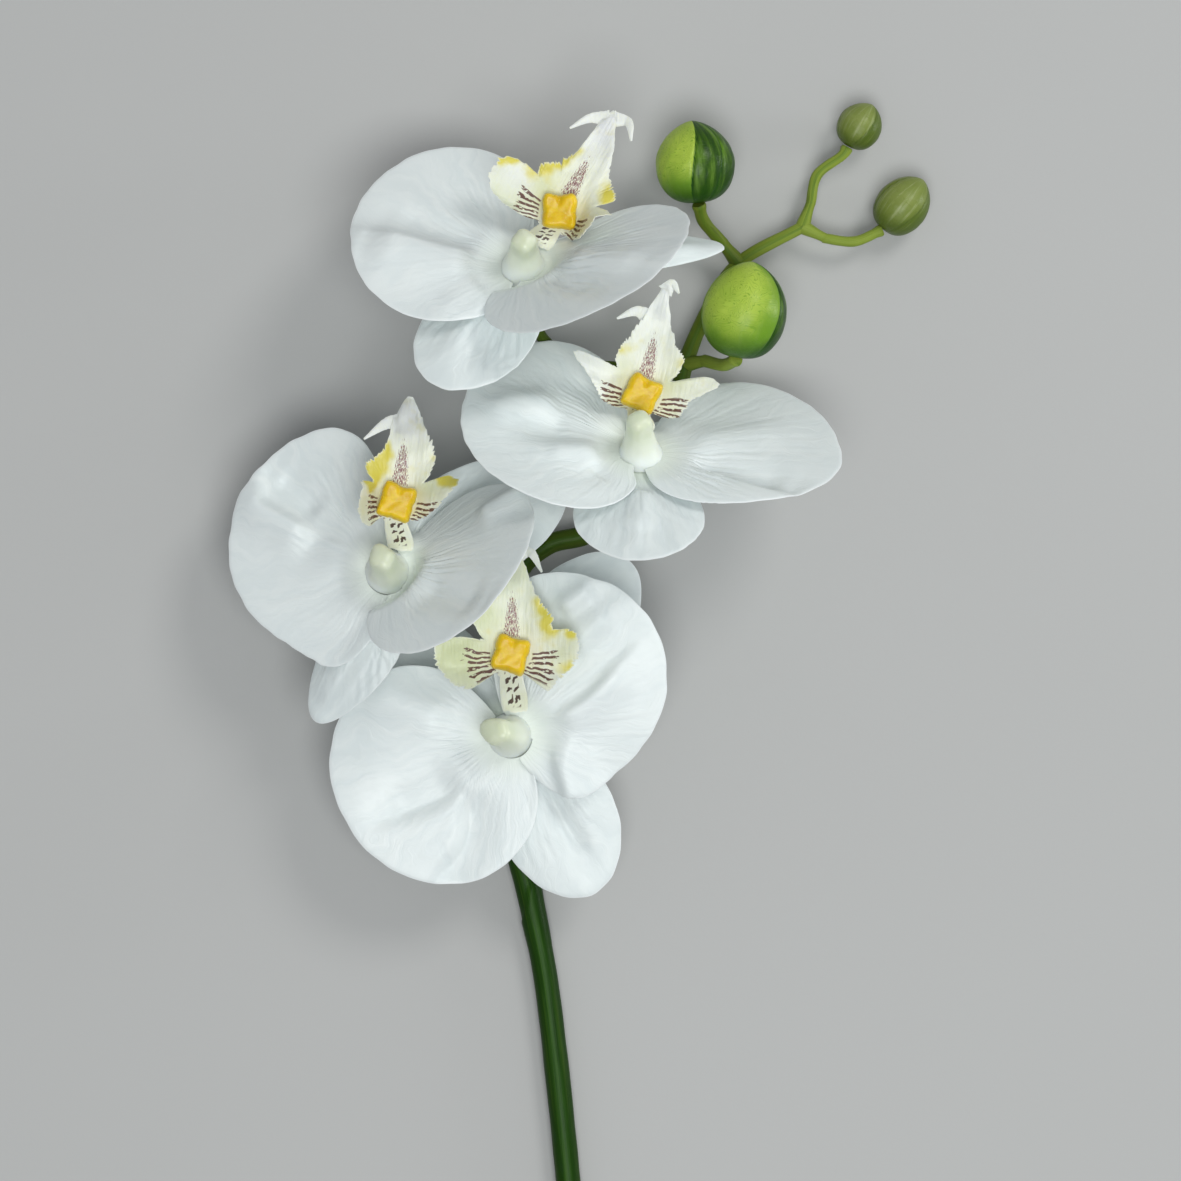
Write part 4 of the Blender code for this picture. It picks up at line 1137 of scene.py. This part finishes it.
class Finish:
    """One procedural material, made from shader nodes. Its tone is painted in layers."""

    def __init__(self, name, tone):
        self.material = bpy.data.materials.new(name)
        self.material.use_nodes = True
        self.tree = self.material.node_tree
        self.shader = self.tree.nodes["Principled BSDF"]
        self.tone = tone
        self.here = self.node("TexCoord", (), "Object")

    def put(self, socket, value):
        if isinstance(value, Value):
            self.tree.links.new(value.socket, socket)
        elif isinstance(value, tuple) and socket.type == "RGBA":
            socket.default_value = (*value, 1)
        else:
            socket.default_value = value

    def node(self, kind, inputs, output=0, **settings):
        """One output of a new node, whose inputs are given in order or by name."""
        node = self.tree.nodes.new(f"ShaderNode{kind}")
        for name, setting in settings.items():
            setattr(node, name, setting)
        pairs = inputs.items() if isinstance(inputs, dict) else enumerate(inputs)
        for key, value in pairs:
            self.put(node.inputs[key], value)
        return Value(self, node.outputs[output])

    def maths(self, operation, first, second=0):
        return self.node("Math", (first, second), operation=operation)

    def split(self, value):
        sockets = self.node("SeparateXYZ", (value,)).socket.node.outputs
        return [Value(self, socket) for socket in sockets]

    def mark(self, name):
        """The three numbers that the mesh holds at each point under a name."""
        return self.split(self.node("Attribute", (), "Vector", attribute_name=name))

    def noise(self, place, detail, roughness=0.5, distortion=0, scale=1):
        if isinstance(place, tuple):
            place = self.node("CombineXYZ", place)
        inputs = {"Vector": place, "Scale": scale, "Detail": detail, "Roughness": roughness}
        return self.node("TexNoise", {**inputs, "Distortion": distortion}, "Fac")

    def clouds(self, scale, detail):
        """Noise by the place on the whole spray."""
        return self.noise(self.here, detail, scale=scale)

    def specks(self, place, scale, near, chosen):
        """Specks round scattered points: how near to them, and which of them by their own shade."""
        apart = self.node("TexVoronoi", {"Vector": place, "Scale": scale}, "Distance")
        shade = self.split(Value(self, apart.socket.node.outputs["Color"]))[0]
        return apart.step(*near) * shade.step(*chosen)

    def paint(self, share, colour):
        """Put a colour over the tone, as strongly as share says."""
        self.tone = self.node("Mix", {0: share, 6: self.tone, 7: colour}, 2, data_type="RGBA")

    def relief(self, *layers):
        """Low relief in layers: heights, distance and strength, each on the one before."""
        under = {}
        for height, distance, strength in layers:
            inputs = {"Height": height, "Distance": distance, "Strength": strength, **under}
            under["Normal"] = self.node("Bump", inputs)
        self.put(self.shader.inputs["Normal"], under["Normal"])

    def done(self, roughness, soft=(0, (1, 1, 1), 0.01), coat=(0, 0.3), specular=0.5):
        """Set the shader: soft is how much light goes in, its colours and its depth, and coat is
        a clear coat's strength and roughness.
        """
        looks = {"Base Color": self.tone, "Roughness": roughness, "Specular IOR Level": specular}
        looks.update(zip(("Subsurface Weight", "Subsurface Radius", "Subsurface Scale"), soft))
        looks.update(zip(("Coat Weight", "Coat Roughness"), coat))
        for name, value in looks.items():
            self.put(self.shader.inputs[name], value)
        return self.material


def petal_finish(name, white, shade, claw):
    """A satin white blade with faint wavy veins, a tinted claw, a thin pale rim and a few specks."""
    finish = Finish(name, shade)
    degrees, reach, seed = finish.mark("polar")
    x, y, rim = finish.mark("flat")
    seed = seed * 3.7
    turn = degrees + finish.noise((x * 0.09, y * 0.09, seed), 2) * 26
    veins = finish.noise((turn * 0.2, reach * 0.04, seed), 4)
    fine = finish.noise((turn * 0.9, reach * 0.12, seed), 3)
    specks = finish.specks(finish.node("CombineXYZ", (x, y, seed)), 0.045, (0.013, 0.008), (0.6, 0.62))
    finish.paint(veins.step(0.3, 0.72), white)
    finish.paint(finish.clouds(30, 3).step(0.42, 0.75) * 0.5, white)
    finish.paint(reach.step(15, 5) * 0.8, claw)
    finish.paint(rim.step(0.7, 0.1) * 0.5, (0.9, 0.93, 0.94))
    finish.paint(specks * 0.7, (0.12, 0.06, 0.05))
    grain = finish.clouds(2600, 2)
    finish.relief((veins, 0.0004, 0.45), (fine, 0.00014, 0.5), (grain, 0.00002, 0.35))
    roughness = fine.scale(0.3, 0.7, 0.38, 0.5)
    return finish.done(roughness, (0.25, (1, 1, 0.95), 0.0014), (0.18, 0.32), 0.45)


def lip_speckles(finish, x, y):
    """Fine wine-red speckles in a tongue that narrows from the callus towards the lip's tip."""
    inside = x.scale(4.5, 20, 2.6, 0.6) - abs(y)
    window = inside.step(-0.5, 0.9) * x.step(3.6, 5) * x.step(20, 12)
    dots = finish.noise((x, y * 4.6, 4), 2, 0.6) + window.scale(0, 1, -0.22, 0.03)
    return dots.step(0.49, 0.54) * window.step(0.03, 0.25)


def wing_strokes(finish, x, y):
    """Dark broken strokes on both wings that run together towards the callus."""
    turn = finish.maths("ARCTAN2", x + 1.5, abs(y) + 6)
    away = finish.maths("SQRT", x * x + y * y)
    bars = finish.maths("SINE", turn * 66 + finish.clouds(210, 2) * 11)
    broken = finish.noise((turn * 26, away * 0.7, 3), 2)
    near = finish.clouds(330, 1) * 2 + 4.6
    far = broken * 7.5 + 8.4
    ring = (away - near).step(-0.3, 0.3) * (far - away).step(-0.3, 0.4)
    wings = turn.step(-0.38, -0.33) * turn.step(0.19, 0.14)
    return bars.step(-0.2, 0.15) * broken.step(0.36, 0.42) * ring * wings


def strip_blots(finish, x, y):
    """A loose double row of dark slanted blots down the foot strip."""
    side = finish.maths("SIGN", y)
    sway = finish.noise((x * 0.7, y * 0.6, side), 1)
    run = finish.maths("SINE", x * 2.9 + y * 2.2 + side * 1.5 + sway * 7)
    rows = abs(abs(y) - 0.95).step(0.95, 0.6)
    return run.step(0, 0.35) * x.step(-4.4, -5) * x.step(-12.4, -11.6) * rows


def lip_finish():
    """Cream sheet with yellow ragged corners, olive painted shade, a speckled middle, striped wings and a
    spotted strip.
    """
    finish = Finish("lip_cream_spotted", (0.78, 0.8, 0.62))
    x, y, rim = finish.mark("flat")
    yellow, olive, white = finish.mark("tint")
    clouds = finish.clouds(150, 3)
    ragged = yellow + clouds.scale(0.3, 0.7, -0.25, 0.25)
    finish.paint(clouds.step(0.32, 0.7), (0.86, 0.88, 0.75))
    # The olive patches are painted shade
    finish.paint(olive * 0.85, (0.55, 0.6, 0.33))
    finish.paint(white * 0.9, (0.86, 0.88, 0.84))
    finish.paint(ragged.step(0.1, 0.55), (0.7, 0.61, 0.09))
    finish.paint(rim.step(0.6, 0.1) * 0.5, (0.87, 0.88, 0.74))
    finish.paint(lip_speckles(finish, x, y) * 0.95, (0.2, 0.04, 0.055))
    finish.paint(wing_strokes(finish, x, y) * 0.93, (0.1, 0.018, 0.016))
    finish.paint(strip_blots(finish, x, y) * 0.95, (0.05, 0.012, 0.01))
    pleats = finish.noise((x * 0.12, y * 1.3, 0), 3)
    finish.relief((pleats, 0.0004, 0.55), (finish.clouds(2200, 3), 0.00003, 0.5))
    roughness = clouds.scale(0.3, 0.7, 0.34, 0.5)
    return finish.done(roughness, (0.35, (1, 0.95, 0.6), 0.0014), (0.15, 0.3))


def callus_finish():
    """Cloudy yellow wax, paler down its sides."""
    finish = Finish("callus_yellow_wax", (0.72, 0.46, 0.003))
    share = finish.mark("flat")[2]
    clouds = finish.clouds(380, 3)
    finish.paint(clouds.step(0.35, 0.7), (0.82, 0.56, 0.01))
    finish.paint(share.step(0.7, 1) * 0.4, (0.84, 0.62, 0.03))
    finish.relief((clouds, 0.0004, 0.45), (finish.clouds(1600, 2), 0.00006, 0.5))
    roughness = clouds.scale(0.3, 0.7, 0.26, 0.42)
    return finish.done(roughness, (0.4, (1, 0.6, 0.15), 0.0018), (0.1, 0.2), 0.35)


def column_finish():
    """Cream wax, white at its foot and greener towards its end."""
    finish = Finish("column_cream_wax", (0.78, 0.82, 0.72))
    reach = finish.mark("flat")[0]
    clouds = finish.clouds(240, 3)
    finish.paint(reach.step(4, 14), (0.68, 0.73, 0.55))
    finish.paint(reach.step(5.5, 2.5), (0.82, 0.87, 0.82))
    finish.paint(clouds.step(0.4, 0.7) * 0.4, (0.78, 0.81, 0.68))
    finish.relief((clouds, 0.0003, 0.35), (finish.clouds(1500, 2), 0.00004, 0.4))
    roughness = clouds.scale(0.3, 0.7, 0.3, 0.44)
    return finish.done(roughness, (0.6, (1, 0.97, 0.75), 0.003), (0.2, 0.25))


def stem_finish():
    """Dark green at the foot, olive among the blooms and yellow-green at the fork, with a painted highlight
    in streaks along its top.
    """
    finish = Finish("stem_green_fibrous", (0.01, 0.04, 0.002))
    reach, across, up = finish.mark("flat")
    streaks = finish.noise((reach * 0.03, across * 4, up * 4), 4, 0.6)
    clouds = finish.noise((reach * 0.08, across, up), 2)
    # The middle mask is the strip along the top of the stem, where it faces up; the streaky greener band
    # painted on it is a painted highlight
    middle = abs(across).step(0.6, 0.1) * up.step(0.3, 0.8)
    finish.paint(reach.step(250, 345), (0.06, 0.095, 0.01))
    finish.paint(reach.step(380, 412), (0.14, 0.19, 0.02))
    finish.paint(reach.step(412, 450), (0.26, 0.34, 0.05))
    finish.paint(middle * streaks.step(0.3, 0.6) * 0.5, (0.035, 0.12, 0.01))
    finish.paint(streaks.step(0.45, 0.75) * 0.25, (0.08, 0.15, 0.015))
    finish.paint(clouds.step(0.6, 0.75) * 0.5, (0.014, 0.045, 0.01))
    finish.paint(reach.step(0.4, 0), (0.45, 0.5, 0.25))
    finish.relief((streaks, 0.0003, 0.5), (finish.clouds(1800, 3), 0.00004, 0.5))
    roughness = streaks.scale(0.3, 0.7, 0.3, 0.46)
    return finish.done(roughness, (0.08, (0.6, 1, 0.3), 0.001), (0.02, 0.26), 0.1)


def bud_finish(name, light, middle, dark, foot, flecks, pale):
    """Scales of light and dark green with lengthwise streaks, swirls, dark seams and flecks."""
    finish = Finish(name, light)
    share, tint, groove = finish.mark("flat")
    across, up, reach = finish.mark("round")
    clouds = finish.clouds(90, 3)
    streaks = finish.noise((across * 5, up * 5, reach * 0.07), 4, 0.6)
    swirls = finish.noise((across * 2.2, up * 2.2, reach * 0.35), 1, 0.4, 1.2)
    rings = finish.maths("SINE", swirls * 58)
    shade = tint + across.scale(0.2, 0.95, 0, 0.5) + share.scale(0, 0.55, 0.6, 0)
    shade = shade + clouds.scale(0.3, 0.7, -0.14, 0.14)
    specks = finish.specks(finish.here, flecks, (0.09, 0.04), (0.78, 0.82))
    finish.paint(shade.step(0, 0.6), middle)
    finish.paint(shade.step(0.6, 1.05), dark)
    finish.paint(streaks.step(0.4, 0.7) * shade.step(0.3, 0.9) * 0.55, middle)
    finish.paint(streaks.step(0.52, 0.66) * pale, (0.5, 0.55, 0.3))
    finish.paint(share.step(0.3, 0.02) * 0.75, foot)
    finish.paint(groove.step(0.25, 0.9) * 0.8, foot)
    finish.paint(rings.step(0.75, 1) * shade.step(0.7, 0.2) * 0.6, middle)
    finish.paint(specks * share.step(0.55, 0.2) * 0.7, (0.06, 0.06, 0.015))
    grain = finish.clouds(1400, 3)
    finish.relief((streaks, 0.0002, 0.3), (rings, 0.00005, 0.25), (grain, 0.00005, 0.4))
    roughness = clouds.scale(0.3, 0.7, 0.34, 0.48)
    return finish.done(roughness, (0.1, (0.6, 1, 0.3), 0.0015), (0.08, 0.25), 0.22)


def floor_finish():
    finish = Finish("studio_floor_grey", (0.47, 0.47, 0.465))
    finish.paint(finish.clouds(3, 3), (0.51, 0.51, 0.505))
    finish.relief((finish.clouds(900, 3), 0.0001, 0.15))
    return finish.done(0.9)


# White, shade and claw colours of the tepals; light, middle, dark and foot colours of the buds
PETAL_COLOURS = ((0.83, 0.885, 0.88), (0.76, 0.825, 0.83), (0.78, 0.85, 0.76))
SEPAL_COLOURS = ((0.8, 0.86, 0.855), (0.72, 0.785, 0.79), (0.72, 0.8, 0.68))
LARGE_BUD_COLOURS = ((0.42, 0.56, 0.07), (0.14, 0.29, 0.015), (0.014, 0.055, 0.001), (0.012, 0.07, 0.002))
SMALL_BUD_COLOURS = ((0.27, 0.32, 0.09), (0.17, 0.22, 0.04), (0.085, 0.13, 0.015), (0.08, 0.12, 0.015))

# The finish of each slot
FINISHES = {
    "petal_white": petal_finish("petal_white_satin", *PETAL_COLOURS),
    "sepal_white": petal_finish("sepal_white_satin", *SEPAL_COLOURS),
    "lip_cream": lip_finish(),
    "callus_yellow": callus_finish(),
    "column_cream": column_finish(),
    "stem_green": stem_finish(),
    "bud_green": bud_finish("bud_green_waxy", *LARGE_BUD_COLOURS, flecks=230, pale=0.04),
    "bud_olive": bud_finish("bud_olive_waxy", *SMALL_BUD_COLOURS, flecks=420, pale=0.3),
}


# The studio in metres: the floor's half width and depth under the table plane, the lights by
# place, aim, size, power and colour, and the camera over the middle of the frame
FLOOR_REACH = 3
FLOOR_DEPTH = 0.0002
LIGHTS = {
    "key": ((0.8, 0.95, 1.25), (0, 0.1, 0), 0.6, 7, (1, 1, 0.97)),
    "rim": ((1.25, 0.3, 0.2), (0, 0.1, 0.03), 0.4, 4, (0.95, 0.98, 1)),
    "fill": ((0.1, -0.3, 1.55), (0, 0.04, 0), 0.9, 13, (0.97, 1, 0.99)),
}
SKY = (0.93, 0.96, 1, 1)
SKY_STRENGTH = 0.3
CAMERA_PLACE = (0.0023, 0.0851, 1.24)
CAMERA_LENS = 138


def add_object(name, data):
    added = bpy.data.objects.new(name, data)
    bpy.context.collection.objects.link(added)
    return added


def add_floor():
    mesh = bpy.data.meshes.new("studio_floor")
    corners = [(x * FLOOR_REACH, y * FLOOR_REACH, 0) for x, y in ((-1, -1), (1, -1), (1, 1), (-1, 1))]
    mesh.from_pydata(corners, [], [(0, 1, 2, 3)])
    mesh.materials.append(floor_finish())
    floor = add_object("studio_floor", mesh)
    floor.location.z = -FLOOR_DEPTH


def add_light(name, place, aim, size, power, colour):
    lamp = bpy.data.lights.new(name, "AREA")
    lamp.shape = "DISK"
    lamp.size = size
    lamp.energy = power
    lamp.color = colour
    light = add_object(name, lamp)
    light.location = place
    light.rotation_euler = (Vector(aim) - Vector(place)).to_track_quat("-Z", "Y").to_euler()


def add_world():
    world = bpy.data.worlds.new("studio")
    world.use_nodes = True
    background = world.node_tree.nodes["Background"]
    background.inputs["Color"].default_value = SKY
    background.inputs["Strength"].default_value = SKY_STRENGTH
    bpy.context.scene.world = world


def add_camera():
    """Straight over the middle of the frame, looking down."""
    lens = bpy.data.cameras.new("camera")
    lens.lens = CAMERA_LENS
    lens.sensor_width = 36
    lens.clip_start = 0.05
    camera = add_object("camera", lens)
    camera.location = CAMERA_PLACE
    bpy.context.scene.camera = camera


def main():
    stubs = []
    for number, bloom in enumerate(BLOOMS):
        seed = 100 * (number + 1)
        show_tepals(bloom, seed)
        show_lip(bloom, seed + 70)
        show_callus(bloom, seed + 80)
        show_column(bloom)
        stubs.append((show_pedicel(bloom), PEDICEL_TONE, PEDICEL_RADIUS))
    for number, bud in enumerate(BUDS):
        stubs.append((show_bud(bud, 600 + 10 * number), bud.stalk_tone, bud.stalk_radius))
    show_stem(stubs)
    add_floor()
    add_world()
    for name, light in LIGHTS.items():
        add_light(name, *light)
    add_camera()
    bpy.context.scene.view_settings.view_transform = "Standard"


main()
